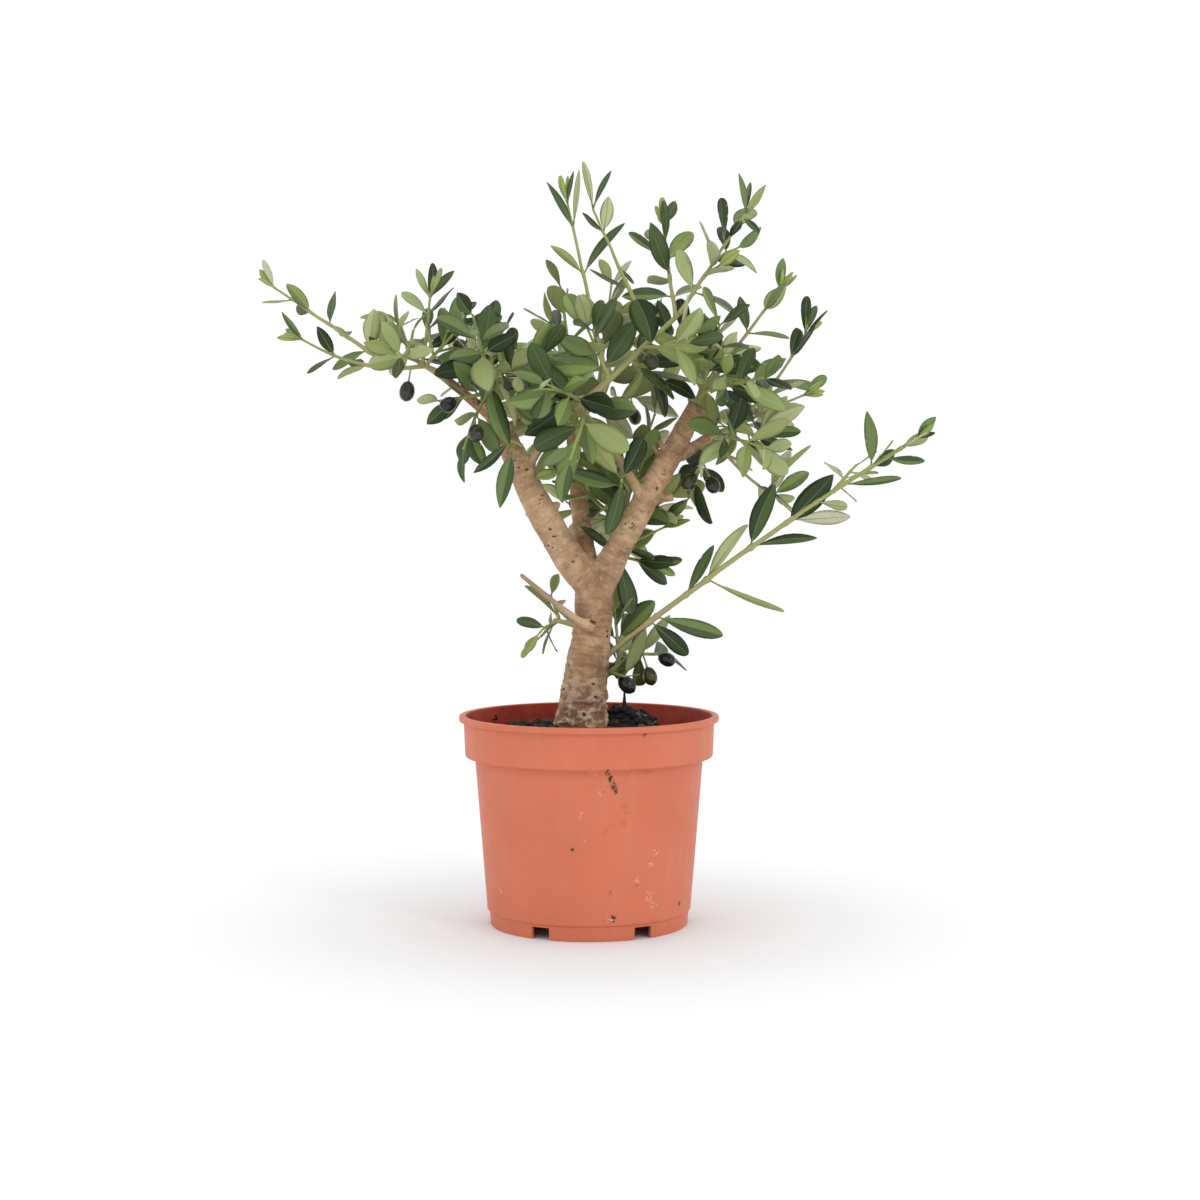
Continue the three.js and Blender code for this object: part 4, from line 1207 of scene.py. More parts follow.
def bark_blank():
    heap = Heap()
    for name, limb in LIMBS.items():
        heap.add(*tube(*limb_points(name), LIMB_SIDES), [])
        path = Curve(limb["path"])
        for at, turn, length, radius in limb.get("stubs", ()):
            steps = np.linspace(0, 1, STUB_RINGS)
            line = stub_path(path, at, turn, length).at(steps)
            heap.add(*tube(line, radius * mix(STUB_FLARE, 1, steps), STUB_SIDES), [])
    blank = make_piece("bark_blank", np.concatenate(heap.places), heap.faces, None, [])
    remesh = blank.modifiers.new("join", "REMESH")
    remesh.mode = "VOXEL"
    remesh.voxel_size = BARK_VOXEL * MM
    smooth = blank.modifiers.new("smooth", "SMOOTH")
    smooth.factor = 0.5
    smooth.iterations = SMOOTHING
    applied = applied_mesh(blank)
    bpy.data.objects.remove(blank)
    return applied


def surface_spot(name, at, turn):
    path = Curve(LIMBS[name]["path"])
    direction = path.tangent(at)
    out = np.array([math.cos(math.radians(turn)), math.sin(math.radians(turn)), 0])
    return path.at(at) + square(out, direction) * along(LIMBS[name]["radii"], at)


# Points along the middle of every limb: place, direction, length so far, radius, and whether it is a cut end
def limb_spine():
    rows = []
    for number, (name, limb) in enumerate(LIMBS.items()):
        path = Curve(limb["path"])
        t = np.linspace(0, 1, SPINE_STEPS)
        run = t * path.length() + LIMB_APART * number
        cut = (t == 1) & (name in CUT_LIMBS)
        rows.append((path.at(t), path.tangent(t), run, along(limb["radii"], t), cut))
    return [np.concatenate(column) for column in zip(*rows)]


# The number of the spine's point that each place on the bark belongs to
def nearest_spine(places, spine, sizes):
    own = np.zeros(len(places), int)
    for part in np.array_split(np.arange(len(places)), max(1, len(places) // SEARCH_PART)):
        gaps = np.linalg.norm(places[part, None] - spine[None], axis=2)
        own[part] = np.argmin(gaps - sizes[None], axis=1)
    return own


def skin_relief(places, run, around, foot):
    relief = np.zeros(len(places))
    skin = np.zeros((len(places), 3))
    on_skin = lambda i, size: Vector((run[i] / size[0], around[i][0] / size[1], around[i][1] / size[1]))
    bumps = lambda place, height, size: height * noise.noise(place / size)
    for i, place in enumerate(map(Vector, places)):
        skin[i] = on_skin(i, SKIN.crease)
        relief[i] = bumps(place, *SWELLING) + CREASE_HEIGHT * noise.fractal(Vector(skin[i]), *CREASE_GRAIN)
        relief[i] += bumps(place, *LUMPS)
        if foot[i] > 0:
            flutes = FLUTE_HEIGHT * noise.fractal(on_skin(i, SKIN.flute), *FLUTE_GRAIN)
            relief[i] += foot[i] * (flutes + bumps(place, *FOOT_LUMPS))
            flake = FLAKE_STEEP * noise.noise(Vector([p / size for p, size in zip(place, SKIN.flake)]))
            relief[i] += foot[i] * max(-FLAKE_HEIGHT, min(FLAKE_HEIGHT, flake))
    return relief, skin


# Raises the knots and specks in the relief, and gives how dark each place is
def add_marks(places, relief):
    scar = np.zeros(len(places))
    rough = [noise.fractal(Vector(p) / RAGGED.size, *RAGGED.grain) for p in places]
    ragged = np.clip(1 + RAGGED.amount * np.array(rough), *RAGGED.range)

    def gap_to(spot, tall, radius):
        return np.linalg.norm((places - spot) * (1, 1, tall), axis=1) / radius * ragged

    for name, at, turn, radius, height in KNOTS:
        gap = gap_to(surface_spot(name, at, turn), KNOT.tall, radius)
        dent = KNOT.dent * np.exp(-((gap / KNOT.dent_radius) ** 2))
        relief += height * (np.exp(-((gap - KNOT.rim) ** 2) * KNOT.steep) - dent)
        scar = np.maximum(scar, KNOT.dark * np.exp(-((gap / KNOT.dark_radius) ** 2)))
    names = list(LIMBS)
    for i in range(SPECKS):
        group = i // SPECK_GROUP
        marked = group < len(SCARS)
        name = names[int(chance(group, 300) ** SPECK_LOW * SPECK_LIMBS)]
        scattered = (name, chance(group, 301), 360 * chance(group, 302))
        name, at, turn = SCARS[group] if marked else scattered
        at = min(1, max(0, at + SPECK.along * (chance(i, 301) - 0.5)))
        spot = surface_spot(name, at, turn + SPECK.turn * (chance(i, 302) - 0.5))
        size = chance(i, 303)
        radius = between(SCAR_RADII, size) if marked else between(SPECK_RADII, size**2)
        spotted = np.exp(-(gap_to(spot, between(SPECK.tall, chance(i, 304)), radius) ** 2))
        relief += SPECK.height * spotted
        scar = np.maximum(scar, spotted * between(SPECK.dark, chance(i, 305)))
    return scar


def bark():
    mesh = bark_blank()
    places = np.zeros(len(mesh.vertices) * 3)
    normals = np.zeros(len(mesh.vertices) * 3)
    mesh.vertices.foreach_get("co", places)
    mesh.vertex_normals.foreach_get("vector", normals)
    places = places.reshape(-1, 3) / MM
    normals = normals.reshape(-1, 3)
    spine, axes, lengths, sizes, ends = limb_spine()
    own = nearest_spine(places, spine, sizes)
    offset = places - spine[own]
    ahead = (offset * axes[own]).sum(axis=1)
    around = unit(offset - axes[own] * ahead[:, None]) * sizes[own][:, None]
    foot = np.clip((FOOT_TOP - places[:, 2]) / FOOT_FADE, 0, 1) ** FOOT_POWER
    relief, skin = skin_relief(places, lengths[own] + ahead, around, foot)
    scar = add_marks(places, relief)
    cut = np.where(ends[own] & (ahead > CUT_DEPTH), 1.0, 0.0)
    thin = np.clip((sizes[own] - THIN.radius) / THIN.fade, THIN.least, 1)
    places = places + normals * (relief * thin * (1 - cut))[:, None]
    mesh.vertices.foreach_set("co", (places * MM).ravel())
    names = list(LIMBS)
    limb = (lengths[own] // LIMB_APART).astype(int)
    share = lengths[own] % LIMB_APART
    bare = np.clip(share / BARE_TWIG.length, BARE_TWIG.least, 1)
    twig = np.where(limb == names.index("pruned_twig"), bare, 0.0)
    young = np.where(limb == names.index("bough_centre"), np.clip(share / YOUNG_LIMB, 0, 1), 0.0)
    # Paler bark from the fork up and most on the left bough: partly its own tone, partly painted light from
    # the left
    fork = np.clip((places[:, 2] - PALE_AND_LIT.bottom) / PALE_AND_LIT.rise, 0, 1)
    fork = fork * np.clip((PALE_AND_LIT.top - places[:, 2]) / PALE_AND_LIT.fall, 0, 1)
    others = np.where(limb < PALE_AND_LIT.limbs, PALE_AND_LIT.share, 0.0)
    pale = fork * np.where(limb == names.index("bough_left"), 1.0, others)
    masks = dict(scar=scar, foot=foot, cut=cut, twig=twig, young=young, pale=pale, relief=relief)
    for name, values in masks.items():
        add_mask(mesh, name, values)
    skin_data = mesh.attributes.new("skin", "FLOAT_VECTOR", "POINT").data
    skin_data.foreach_set("vector", skin.ravel().astype(np.float32))
    mesh.name = "bark"
    mesh.materials.clear()
    mesh.materials.append(bark_material())
    mesh.shade_smooth()
    mesh.update()
    return add_object("bark", mesh)


BARK = SimpleNamespace(
    plain=(0.45, 0.32, 0.2), brown=(0.360, 0.212, 0.115), tan=(0.620, 0.410, 0.240),
    crease_shade=(0.190, 0.100, 0.052), ridge_highlight=(0.700, 0.500, 0.320), pale=(0.690, 0.490, 0.310),
    hollow_shade=(0.210, 0.112, 0.060), mottle=(0.300, 0.190, 0.115), fleck=(0.720, 0.560, 0.400),
    aged=(0.235, 0.140, 0.080), grey=(0.520, 0.395, 0.285), bare=(0.660, 0.480, 0.300),
    bare_tip=(0.400, 0.270, 0.190), young=(0.330, 0.315, 0.130), fine=(0.150, 0.085, 0.048),
    scar=(0.060, 0.032, 0.018), wood=(0.150, 0.070, 0.040), wood_pale=(0.260, 0.150, 0.095),
)


def bark_material():
    look = Look("bark", BARK.plain, 0.8, Specular_IOR_Level=0.25)
    relief, foot, twig = (look.mask(name) for name in ("relief", "foot", "twig"))
    wrinkles = look.noise(1.0, 5, 0.6, look.mask("skin", "Vector"))
    worn = look.band(look.noise(55, 4, 0.7), 0.40, 0.56, 0, 0.9)
    dark = look.math("MULTIPLY", look.mask("scar"), look.band(look.noise(420, 3), 0.3, 0.55, 0.5, 1.1))
    bare = look.blend(look.band(twig, 0.3, 0.9), BARK.bare, BARK.bare_tip)
    wood = look.blend(look.patches(0.35, 0.7, 300, 3), BARK.wood, BARK.wood_pale)
    colour = look.over(
        look.blend(look.patches(0.35, 0.68, 38, 5), BARK.brown, BARK.tan),
        # Painted shade in the bottoms of the creases, and a painted highlight on their ridges
        (look.band(wrinkles, 0.48, 0.38, 0, 0.45), BARK.crease_shade),
        (look.band(wrinkles, 0.54, 0.64, 0, 0.35), BARK.ridge_highlight),
        # Pale bark: partly its own tone, partly painted light from the left
        (look.part(look.mask("pale"), 0.38), BARK.pale),
    )
    colour = look.over(
        # Painted shade in the hollows of the relief
        look.blend(look.band(relief, -0.9, 0.35), BARK.hollow_shade, colour),
        (look.part(look.patches(0.40, 0.62, 160, 6, 0.7), 0.35), BARK.mottle),
        (look.part(look.patches(0.55, 0.70, 230, 4, 0.65), 0.4), BARK.fleck),
        (look.part(foot, worn), BARK.aged),
        (look.part(foot, look.band(relief, 0.1, 0.9)), BARK.grey),
        (look.band(twig, 0.0, 0.2, 0, 0.75), bare),
        (look.part(look.mask("young"), 0.85), BARK.young),
        (look.part(look.patches(0.56, 0.72, 520, 3), 0.35), BARK.fine),
        (look.band(dark, 0.25, 0.85), BARK.scar),
        (look.mask("cut"), wood),
    )
    grain = look.math("ADD", look.noise(700, 3), look.part(wrinkles, 1.4))
    return look.finish(colour, look.band(look.noise(120), 0.3, 0.7, 0.7, 0.9), grain, 0.0007, 0.6)


# Pot: the radius and height of each corner of its outline, and how far the corner is rounded
CORNER_STEPS = 5
CORNER_MOST = 0.45
SLOT_DEPTH = 20
DRAIN_DEPTH = 20
DRAIN_SIDES = 28
SHARP_ANGLE = math.radians(35)
COLLAR = POT_HEIGHT - COLLAR_HEIGHT
INSIDE_FROM = 0.7


def pot_profile():
    inner = lambda radius: radius - WALL
    lip = POT_HEIGHT - LIP_HEIGHT
    return [
        (FOOT_RADIUS - 3, FLOOR_BOTTOM, 0.6), (FOOT_RADIUS - 3, 0, 0.5), (FOOT_RADIUS - 0.5, 0, 0.9),
        (FOOT_RADIUS + 0.7, FOOT_HEIGHT, 0.4), (WALL_BOTTOM_RADIUS, FOOT_HEIGHT + 0.8, 0.8),
        (WALL_BOTTOM_RADIUS + 0.25, FOOT_HEIGHT + 3.6, 0.2),
        (WALL_BOTTOM_RADIUS + 0.1, FOOT_HEIGHT + 4.0, 0.2),
        (WALL_TOP_RADIUS, COLLAR, 1.2), (COLLAR_BOTTOM_RADIUS - 0.2, COLLAR, 2.2),
        (COLLAR_RADIUS, lip, 0.8), (LIP_RADIUS - 0.2, lip, 1.1), (LIP_RADIUS, POT_HEIGHT, 2.0),
        (inner(COLLAR_RADIUS), POT_HEIGHT, 1.6), (inner(COLLAR_BOTTOM_RADIUS), COLLAR + WALL, 2.0),
        (inner(WALL_TOP_RADIUS), COLLAR + WALL - 1, 1.5), (inner(WALL_BOTTOM_RADIUS), FLOOR_TOP, 2.0),
    ]


# The profile with each corner rounded to its radius
def rounded(profile):
    points = [np.array(p[:2], float) for p in profile]
    made = points[:1]
    for before, p, after, (_, _, radius) in zip(points, points[1:], points[2:], profile[1:]):
        sides = (before - p, after - p)
        reach = min(radius, *(CORNER_MOST * np.linalg.norm(side) for side in sides))
        start, end = (p + unit(side) * reach for side in sides)
        made += list(Curve([start, p, end]).at(np.linspace(0, 1, CORNER_STEPS)))
    return made + points[-1:]


# A surface of revolution. Its two ends close on the axis.
def lathe(profile, sides):
    angles = np.linspace(0, 2 * math.pi, sides, endpoint=False)
    places = [(r * math.cos(a), r * math.sin(a), z) for r, z in profile for a in angles]
    places += [(0, 0, profile[0][1]), (0, 0, profile[-1][1])]
    return np.array(places), ring_faces(len(profile), sides, True)


# What is cut from the pot: the slots of its foot ring and the drain holes of its floor
def pot_openings():
    cutter = bmesh.new()
    hole = DRAIN_RADIUS * MM
    for i in range(SLOTS):
        turn = SLOT_TURN + i * 2 * math.pi / SLOTS
        where = Vector((math.cos(turn), math.sin(turn), 0))
        for v in bmesh.ops.create_cube(cutter, size=1)["verts"]:
            x = v.co.x * SLOT_DEPTH + FOOT_RADIUS
            y = v.co.y * SLOT_WIDTH
            z = v.co.z * 2 * SLOT_HEIGHT
            v.co = Vector((x * where.x - y * where.y, x * where.y + y * where.x, z)) * MM
        drain = bmesh.ops.create_cone(
            cutter, segments=DRAIN_SIDES, radius1=hole, radius2=hole, depth=DRAIN_DEPTH * MM, cap_ends=True
        )
        middle = where * DRAIN_CIRCLE + Vector((0, 0, FLOOR_TOP))
        bmesh.ops.translate(cutter, verts=drain["verts"], vec=middle * MM)
    mesh = bpy.data.meshes.new("pot_cutter")
    cutter.to_mesh(mesh)
    cutter.free()
    return add_object("pot_cutter", mesh)


def pot():
    places, faces = lathe(rounded(pot_profile()), POT_SIDES)
    obj = make_piece("pot_shell", places, faces, None, [pot_material()])
    openings = pot_openings()
    cut = obj.modifiers.new("openings", "BOOLEAN")
    cut.operation = "DIFFERENCE"
    cut.solver = "EXACT"
    cut.object = openings
    mesh = applied_mesh(obj)
    obj.modifiers.clear()
    obj.data = mesh
    bpy.data.objects.remove(openings)
    mesh.shade_smooth()
    mesh.set_sharp_from_angle(angle=SHARP_ANGLE)
    spread = np.array([math.hypot(v.co.x, v.co.y) / MM for v in mesh.vertices])
    level = np.array([v.co.z / MM for v in mesh.vertices])
    levels = (FLOOR_TOP, COLLAR, COLLAR + WALL, POT_HEIGHT)
    radii = (WALL_BOTTOM_RADIUS, WALL_TOP_RADIUS, COLLAR_BOTTOM_RADIUS, COLLAR_RADIUS)
    wall = np.interp(level, levels, radii)
    # The inside of the wall, which takes a painted shade
    add_mask(mesh, "inside", (spread < wall - INSIDE_FROM * WALL) & (level > FLOOR_TOP - 1))
    return obj


# Marks on the front of the pot: how far across and up each one is, and its radius
SOIL_MARKS = (
    (15.5, 140, 4), (18, 135, 4), (20, 129, 4), (22, 125, 3), (20, 20, 4), (17, 41, 2.5), (-13, 77, 2.5),
    (75, 24, 4), (45, 171, 3), (39, 46, 2), (12, 124, 2),
)
STAINS = ((20, 134, 13), (29, 109, 9), (29, 101, 8), (17, 93, 9), (33, 142, 9), (48, 142, 8))
SCUFFS = (
    (-6, 105, 4), (-3, 86, 3), (54, 72, 6), (52, 63, 5), (40, 50, 5), (50, 36, 7), (53, 28, 6), (18, 18, 5),
    (-73, 36, 4), (10, 124, 4), (4, 141, 5),
)


# The outer radius of the pot at a height
def wall_radius(z):
    if z > COLLAR:
        return mix(COLLAR_BOTTOM_RADIUS, COLLAR_RADIUS, (z - COLLAR) / COLLAR_HEIGHT)
    if z < FOOT_HEIGHT:
        return FOOT_RADIUS
    return mix(WALL_BOTTOM_RADIUS, WALL_TOP_RADIUS, (z - FOOT_HEIGHT) / (COLLAR - FOOT_HEIGHT))


# The y of the pot's front at a place across and up
def front(x, z):
    return -math.sqrt(wall_radius(z) ** 2 - x * x)


# Full within this share of a mark's radius
SPOT_FULL = 0.2


def spots(look, marks, grain):
    total = 0.0
    for x, z, radius in marks:
        middle = (x * MM, front(x, z) * MM, z * MM)
        gap = look.node("ShaderNodeVectorMath", {0: look.place(), 1: middle}, operation="DISTANCE")
        near = look.band(gap.outputs["Value"], radius * MM, radius * SPOT_FULL * MM)
        total = look.math("MAXIMUM", total, near)
    return look.part(total, grain)


POT = SimpleNamespace(
    plain=(0.62, 0.165, 0.083), deep=(0.600, 0.154, 0.076), light=(0.640, 0.175, 0.091),
    streak=(0.680, 0.238, 0.148), dust=(0.380, 0.100, 0.055), stain=(0.540, 0.125, 0.028),
    dirt=(0.075, 0.034, 0.020), chalk=(0.850, 0.640, 0.540), inside=(0.390, 0.030, 0.003),
)


def pot_material():
    look = Look("pot_plastic", POT.plain, 0.5, Specular_IOR_Level=0.4)
    painted_inside_shade = look.band(look.noise(45, 4), 0.25, 0.6, 0.75, 1.0)
    colour = look.over(
        look.blend(look.patches(0.3, 0.7, 14, 3), POT.deep, POT.light),
        (look.part(look.patches(0.5, 0.75, 60, 4, stretch=(1, 1, 0.08)), 0.22), POT.streak),
        (look.part(look.patches(0.66, 0.74, 420, 2), 0.18), POT.dust),
        (look.part(spots(look, STAINS, look.patches(0.42, 0.6, 140, 4)), 0.6), POT.stain),
        (spots(look, SOIL_MARKS, look.patches(0.44, 0.54, 330, 5, 0.7)), POT.dirt),
        (look.part(spots(look, SCUFFS, look.patches(0.54, 0.61, 560, 3, 0.6)), 0.65), POT.chalk),
        # Painted shade over the inside of the wall, in patches
        (look.part(look.mask("inside"), painted_inside_shade), POT.inside),
    )
    rough = look.band(look.noise(90), 0.3, 0.7, 0.46, 0.58)
    return look.finish(colour, rough, look.noise(1400, 2), 0.0001, 0.25)


# Soil: rough all over, and most of all on the wet clod. Bumps have a height, a size, a level and a grain.
SOIL_RINGS = 70
SOIL_SIDES = 220
SOIL_BUMPS = (1.5, 6, 0, (0.8, 2.1, 4))
WET_BUMPS = (4.5, 9, 9, (0.8, 2.0, 3))
WET_REACH = 1.05
MOUND_REACH = 42
SWELLS = SimpleNamespace(height=1.1, across=0.21, start=1, deep=0.19, slant=0.05)
EDGE_FADE = 3
TRUNK_X, TRUNK_Y, _ = LIMBS["trunk"]["path"][0]
TRUNK_RADIUS = LIMBS["trunk"]["radii"][0]


def from_trunk(x, y):
    return math.hypot(x - TRUNK_X, y - TRUNK_Y)


def clod_share(x, y, radius):
    return math.exp(-((math.hypot(x - CLOD.x, y - CLOD.y) / radius) ** 4))


def soil_height(x, y):
    mound = SOIL_MOUND * math.exp(-((max(0, from_trunk(x, y) - TRUNK_RADIUS) / MOUND_REACH) ** 2))
    clod = CLOD.height * clod_share(x, y, CLOD.radius)
    swells = SWELLS.height * math.sin(x * SWELLS.across + SWELLS.start)
    return SOIL_EDGE + mound + clod + swells * math.sin(y * SWELLS.deep + x * SWELLS.slant)


def soil_bumps(x, y, size, level, grain):
    return noise.fractal(Vector((x, y, level)) / size, *grain)


def soil():
    gap = 2 * GAP
    ledge = COLLAR + WALL + gap
    rim = COLLAR_BOTTOM_RADIUS - WALL - gap
    profile = [(WALL_BOTTOM_RADIUS - WALL - gap, FLOOR_TOP + GAP), (WALL_TOP_RADIUS - WALL - gap, ledge - 1)]
    profile += [(rim, ledge), (rim, SOIL_EDGE)]
    profile += [(rim * (1 - i / SOIL_RINGS), SOIL_EDGE) for i in range(1, SOIL_RINGS)]
    places, faces = lathe(profile, SOIL_SIDES)
    wet = np.zeros(len(places))
    for i, (x, y, z) in enumerate(places):
        if z < SOIL_EDGE - 1:
            continue
        wet[i] = clod_share(x, y, CLOD.radius * WET_REACH)
        rough = SOIL_BUMPS[0] * soil_bumps(x, y, *SOIL_BUMPS[1:])
        rough += WET_BUMPS[0] * wet[i] * soil_bumps(x, y, *WET_BUMPS[1:])
        places[i, 2] = soil_height(x, y) + rough * min(1, (rim - math.hypot(x, y)) / EDGE_FADE)
    obj = make_piece("soil_bed", places, faces, None, [soil_material()])
    add_mask(obj.data, "wet", wet)
    return obj


SOIL = SimpleNamespace(
    plain=(0.02, 0.014, 0.010), dark=(0.010, 0.007, 0.006), light=(0.055, 0.034, 0.023),
    fibre=(0.130, 0.080, 0.050), wet=(0.004, 0.004, 0.004),
)


def soil_material():
    look = Look("soil", SOIL.plain, 0.9, Specular_IOR_Level=0.35)
    wet = look.mask("wet")
    colour = look.over(
        look.blend(look.patches(0.4, 0.66, 260, 5), SOIL.dark, SOIL.light),
        (look.part(look.patches(0.64, 0.72, 700, 3, stretch=(1, 0.2, 1)), 0.5), SOIL.fibre),
        (wet, SOIL.wet),
    )
    return look.finish(colour, look.band(wet, 0.2, 0.8, 0.92, 0.28), look.noise(520, 5), 0.0012, 0.8)


# Crumbs: loose ones all over and round the trunk, wet ones on the clod, and a heap at the back left. A few
# bits stick to the wall, inside it and on its front. Each kind has its own range of keys.
CRUMB = SimpleNamespace(count=900, sizes=(0.7, 3.2), rare=2.2, lift=0.35, clear=2, reach=46, close=1.3)
CLOD_CRUMB = SimpleNamespace(key=9000, count=140, sizes=(1.2, 4.2), rare=1.5, lift=0.2, reach=1.15, tones=2)
HEAP_CRUMB = SimpleNamespace(key=7000, count=60, sizes=(3, 7), across=(-72, -24), back=(30, 88), tones=3)
SPLASH = SimpleNamespace(
    key=6000, count=14, sizes=(0.6, 1.6), heights=(158, 174), turn=math.radians(143), spread=0.05, tones=2
)
STUCK = SimpleNamespace(
    key=5000, keys=10, marks=5, count=7, sizes=(0.3, 0.8), across=0.6, tall=1.6, out=0.1
)
CRUMB_MARGIN = 4
CRUMB_TONES = ((0.012, 0.008, 0.007), (0.024, 0.015, 0.011), (0.045, 0.028, 0.019), (0.085, 0.052, 0.034))
CRUMB_PALER = 2.2

# A lump is a ball with large and small bumps, each of a height and a pitch, stretched along each axis
LUMP_LARGE = (0.45, 1.4)
LUMP_SMALL = (0.2, 3.5)
LUMPS_APART = 3.1
LUMP_STRETCH = ((0.7, 1.3), (0.7, 1.3), (0.5, 0.9))

# One upright bit of soil on the clod
SPIKE = SimpleNamespace(foot=(30, 2, 178), height=18, radii=(3.2, 0.8), taper=0.6, rings=8, sides=12)


def lump_shape():
    made = bmesh.new()
    bmesh.ops.create_icosphere(made, subdivisions=2, radius=1)
    places = np.array([v.co for v in made.verts])
    faces = [[v.index for v in f.verts] for f in made.faces]
    made.free()
    return places, faces


def add_lump(heap, shape, where, size, key, tones=len(CRUMB_TONES)):
    places, faces = shape
    start = Vector((key * LUMPS_APART, 0, 0))
    swollen = [
        1 + LUMP_LARGE[0] * noise.noise(Vector(p) * LUMP_LARGE[1] + start)
        + LUMP_SMALL[0] * noise.noise(Vector(p) * LUMP_SMALL[1]) for p in places
    ]
    grown = places * np.array(swollen)[:, None]
    stretch = np.array([between(LUMP_STRETCH[i], chance(key, 11 + i)) for i in range(3)])
    heap.add(np.array(where) + grown * stretch * size, faces, [int(chance(key, 14) * tones)] * len(faces))


def polar(radius, turn):
    return np.array([radius * math.cos(turn), radius * math.sin(turn)])


def crumbs():
    heap = Heap()
    shape = lump_shape()
    rim = COLLAR_BOTTOM_RADIUS - WALL - CRUMB_MARGIN
    for key in range(CRUMB.count):
        turn = 2 * math.pi * chance(key, 401)
        if key % 2:
            x, y = polar(rim * math.sqrt(chance(key, 402)), turn)
        else:
            radius = TRUNK_RADIUS + CRUMB.clear + CRUMB.reach * chance(key, 402) ** CRUMB.close
            x, y = polar(radius, turn) + (TRUNK_X, TRUNK_Y)
        size = between(CRUMB.sizes, chance(key, 403) ** CRUMB.rare)
        if math.hypot(x, y) <= rim and from_trunk(x, y) >= TRUNK_RADIUS + 1:
            add_lump(heap, shape, (x, y, soil_height(x, y) + size * CRUMB.lift), size, key)
    for key in range(CLOD_CRUMB.key, CLOD_CRUMB.key + CLOD_CRUMB.count):
        radius = CLOD.radius * CLOD_CRUMB.reach * math.sqrt(chance(key, 402))
        x, y = polar(radius, 2 * math.pi * chance(key, 401)) + (CLOD.x, CLOD.y)
        size = between(CLOD_CRUMB.sizes, chance(key, 403) ** CLOD_CRUMB.rare)
        z = soil_height(x, y) + size * CLOD_CRUMB.lift
        if from_trunk(x, y) > TRUNK_RADIUS + size:
            add_lump(heap, shape, (x, y, z), size, key, CLOD_CRUMB.tones)
    for key in range(HEAP_CRUMB.key, HEAP_CRUMB.key + HEAP_CRUMB.count):
        x = between(HEAP_CRUMB.across, chance(key, 401))
        y = between(HEAP_CRUMB.back, chance(key, 402))
        size = between(HEAP_CRUMB.sizes, chance(key, 403))
        z = soil_height(x, y) + size * chance(key, 404)
        if math.hypot(x, y) < rim:
            add_lump(heap, shape, (x, y, z), size, key, HEAP_CRUMB.tones)
    for key in range(SPLASH.key, SPLASH.key + SPLASH.count):
        z = between(SPLASH.heights, chance(key, 401))
        x, y = polar(wall_radius(z) - WALL, SPLASH.turn + SPLASH.spread * (chance(key, 402) - 0.5))
        add_lump(heap, shape, (x, y, z), between(SPLASH.sizes, chance(key, 403)), key, SPLASH.tones)
    for i, (x, z, radius) in enumerate(SOIL_MARKS[:STUCK.marks]):
        first = STUCK.key + i * STUCK.keys
        for key in range(first, first + STUCK.count):
            px = x + radius * STUCK.across * (chance(key, 1) - 0.5)
            pz = z + radius * STUCK.tall * (chance(key, 2) - 0.5)
            size = between(STUCK.sizes, chance(key, 3))
            add_lump(heap, shape, (px, front(px, pz) - STUCK.out, pz), size, key)
    t = np.linspace(0, 1, SPIKE.rings)
    spike = np.array(SPIKE.foot) + UP * np.linspace(0, SPIKE.height, SPIKE.rings)[:, None]
    places, faces = tube(spike, mix(*SPIKE.radii, t**SPIKE.taper), SPIKE.sides)
    heap.add(places, faces, [0] * len(faces))
    return heap.piece("soil_crumbs", [crumb_material(i, c) for i, c in enumerate(CRUMB_TONES)])


def crumb_material(number, colour):
    look = Look(f"crumb_{number}", colour, 0.85, Specular_IOR_Level=0.3)
    pale = tuple(min(1, c * CRUMB_PALER) for c in colour)
    shade = look.blend(look.patches(0.45, 0.7, 600, 4), colour, pale)
    return look.finish(shade, None, look.noise(900, 4), 0.0006, 0.7)


# The skin of each kind of olive, the bloom on it and how much of that there is
OLIVE_SKINS = {
    "olive_black": ((0.010, 0.009, 0.009), (0.070, 0.072, 0.084), 0.28),
    "olive_dusky": ((0.022, 0.021, 0.012), (0.110, 0.118, 0.105), 0.35),
    "olive_green": ((0.036, 0.034, 0.006), (0.075, 0.080, 0.024), 0.4),
}


def olive_material(name, dark, bloom, amount):
    look = Look(name, dark, 0.2, Specular_IOR_Level=0.45)
    dust = look.part(look.patches(0.35, 0.7, 110, 4), amount)
    return look.finish(look.blend(dust, dark, bloom), look.band(dust, 0, 0.6, 0.16, 0.3))


# Dress the frame
def place(obj, slot, *nodes):
    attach(obj, "root")
    if nodes:
        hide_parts(*nodes)


plant = grow()
place(pot(), "pot", "pot")
place(soil(), "soil", "soil")
place(crumbs(), "soil")
place(bark(), "bark", *LIMBS)

leaf_looks_made = leaf_materials()
stem_looks = [Look(name, colour, STEM_ROUGHNESS).finish() for name, colour in STEMS.items()]
olive_looks = [olive_material(name, *skin) for name, skin in OLIVE_SKINS.items()]
olive_looks.append(Look("olive_stalk", STEMS["stem_tan"], STEM_ROUGHNESS).finish())
faces, roles = leaf_faces()
twig_heap = Heap()
olive_heap = Heap()
for name, twigs in plant.items():
    leaves = [leaf for twig in twigs for leaf in twig.leaves]
    for twig in twigs:
        if twig.slim and twig.pairs:
            leaves += tip_leaves(twig)
    leaf_heap = Heap()
    for leaf, places in zip(leaves, leaf_meshes(leaves)):
        looks = leaf_looks(leaf)
        leaf_heap.add(places, faces, [looks[role] for role in roles])
    place(leaf_heap.piece(name.replace("foliage", "leaves"), leaf_looks_made), "foliage", name)
    for twig in twigs:
        add_twig(twig_heap, twig)
        for olive in twig.olives:
            look = int(chance(olive.key, 2) * len(OLIVE_SKINS))
            add_olive(olive_heap, olive, look, len(OLIVE_SKINS))
place(twig_heap.piece("twigs", stem_looks), "foliage")
place(olive_heap.piece("olives", olive_looks), "foliage")

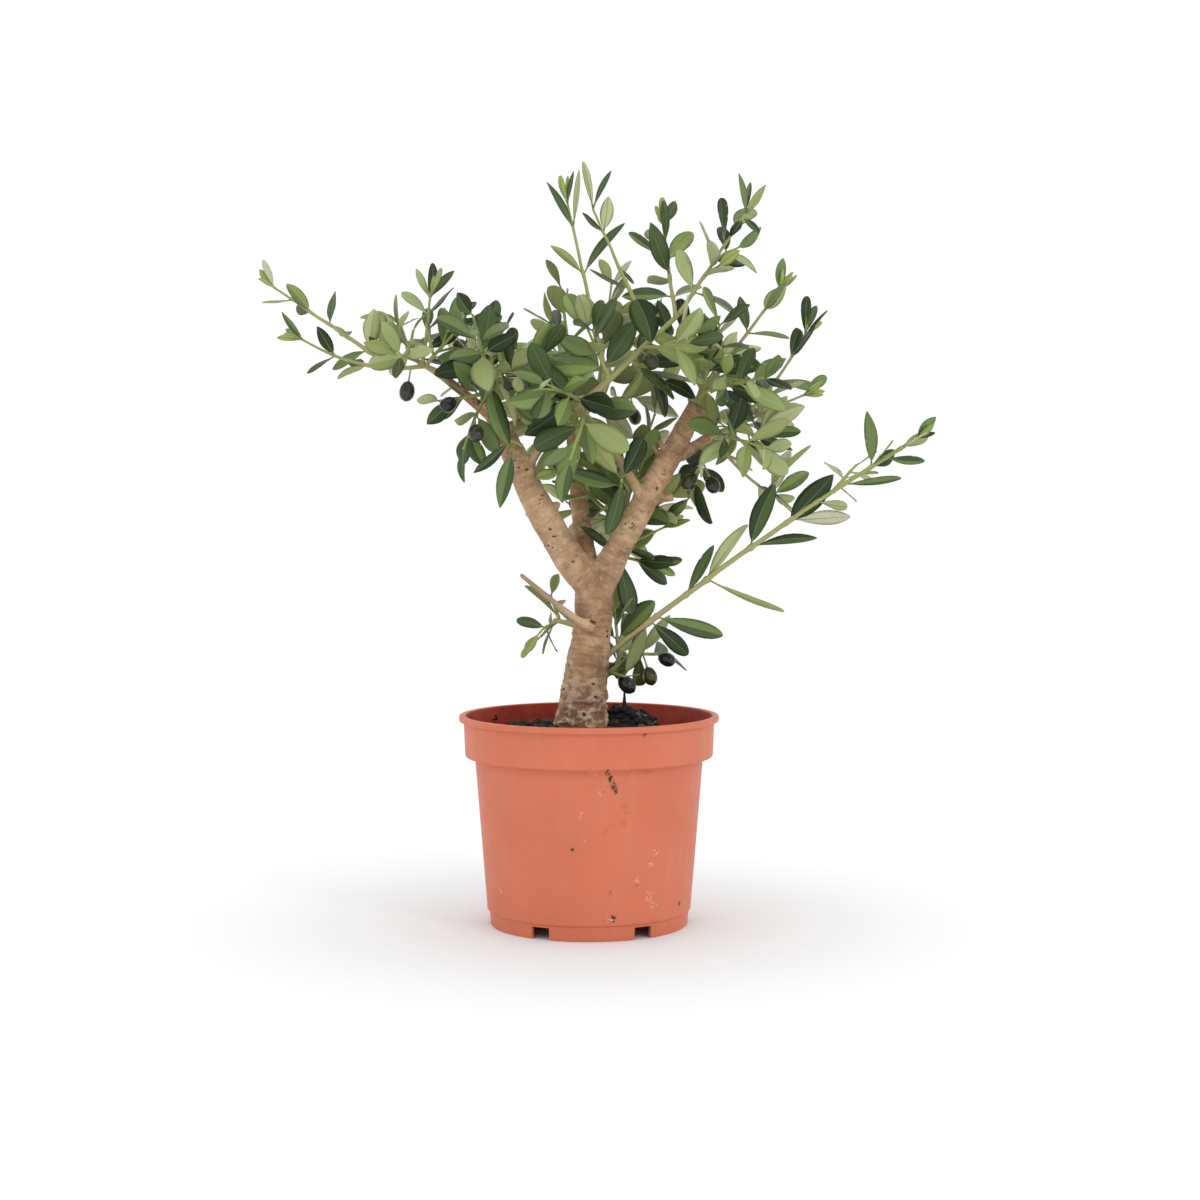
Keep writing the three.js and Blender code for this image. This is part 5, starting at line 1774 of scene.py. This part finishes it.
# Floor, soft light and the camera of the photograph
FLOOR_HALF = 6
# A painted shadow round the pot: where it fades out, its colour near the pot and the floor's colour far away
FLOOR_SHADOW_FADE = (0.08, 0.45)
FLOOR_PAINTED_SHADOW = (0.845, 0.890, 0.900)
FLOOR_FAR = (0.985, 0.985, 0.985)
SKY_STRENGTH = 1.02
LIGHT_AIM = (0, 0, 0.3)
CAMERA_PLACE = (0.0093, -1.834, 0.369)
CAMERA_AIM = (0.0093, 0, 0.2744)
CAMERA_LENS = 65.2
CAMERA_SENSOR = 36

# The place, the size and the power of each light
LIGHTS = {
    "light_right": ((1.3, -1.5, 1.3), 0.16, 4.5),
    "light_left": ((-1.5, -1.2, 1.5), 1.2, 1),
    "light_top": ((0, 0.3, 2.2), 1.6, 2),
}


# A white floor with a painted shadow: greyer and a little cooler close round the pot, against its warm
# bounce
def floor_material():
    look = Look("floor", (0.98, 0.98, 0.98), 0.8, Specular_IOR_Level=0.1)
    far = look.node("ShaderNodeVectorMath", {0: look.place()}, operation="LENGTH").outputs["Value"]
    return look.finish(look.blend(look.band(far, *FLOOR_SHADOW_FADE), FLOOR_PAINTED_SHADOW, FLOOR_FAR))


def aim(obj, place, target):
    obj.location = place
    obj.rotation_mode = "QUATERNION"
    obj.rotation_quaternion = (Vector(target) - Vector(place)).to_track_quat("-Z", "Y")


floor_mesh = bpy.data.meshes.new("floor")
corners = [(x * FLOOR_HALF, y * FLOOR_HALF, 0) for x, y in ((-1, -1), (1, -1), (1, 1), (-1, 1))]
floor_mesh.from_pydata(corners, [], [(0, 1, 2, 3)])
floor_mesh.materials.append(floor_material())
floor = add_object("floor", floor_mesh)

world = bpy.data.worlds.new("studio")
world.use_nodes = True
sky = world.node_tree.nodes["Background"].inputs
sky["Color"].default_value = (1, 1, 1, 1)
sky["Strength"].default_value = SKY_STRENGTH
bpy.context.scene.world = world

for name, (light_place, size, power) in LIGHTS.items():
    lamp = bpy.data.lights.new(name, "AREA")
    lamp.shape = "RECTANGLE"
    lamp.size = size
    lamp.size_y = size
    lamp.energy = power
    aim(add_object(name, lamp), light_place, LIGHT_AIM)

camera_data = bpy.data.cameras.new("camera")
camera_data.lens = CAMERA_LENS
camera_data.sensor_width = CAMERA_SENSOR
camera = add_object("camera", camera_data)
aim(camera, CAMERA_PLACE, CAMERA_AIM)
bpy.context.scene.camera = camera
bpy.context.scene.view_settings.view_transform = "Standard"
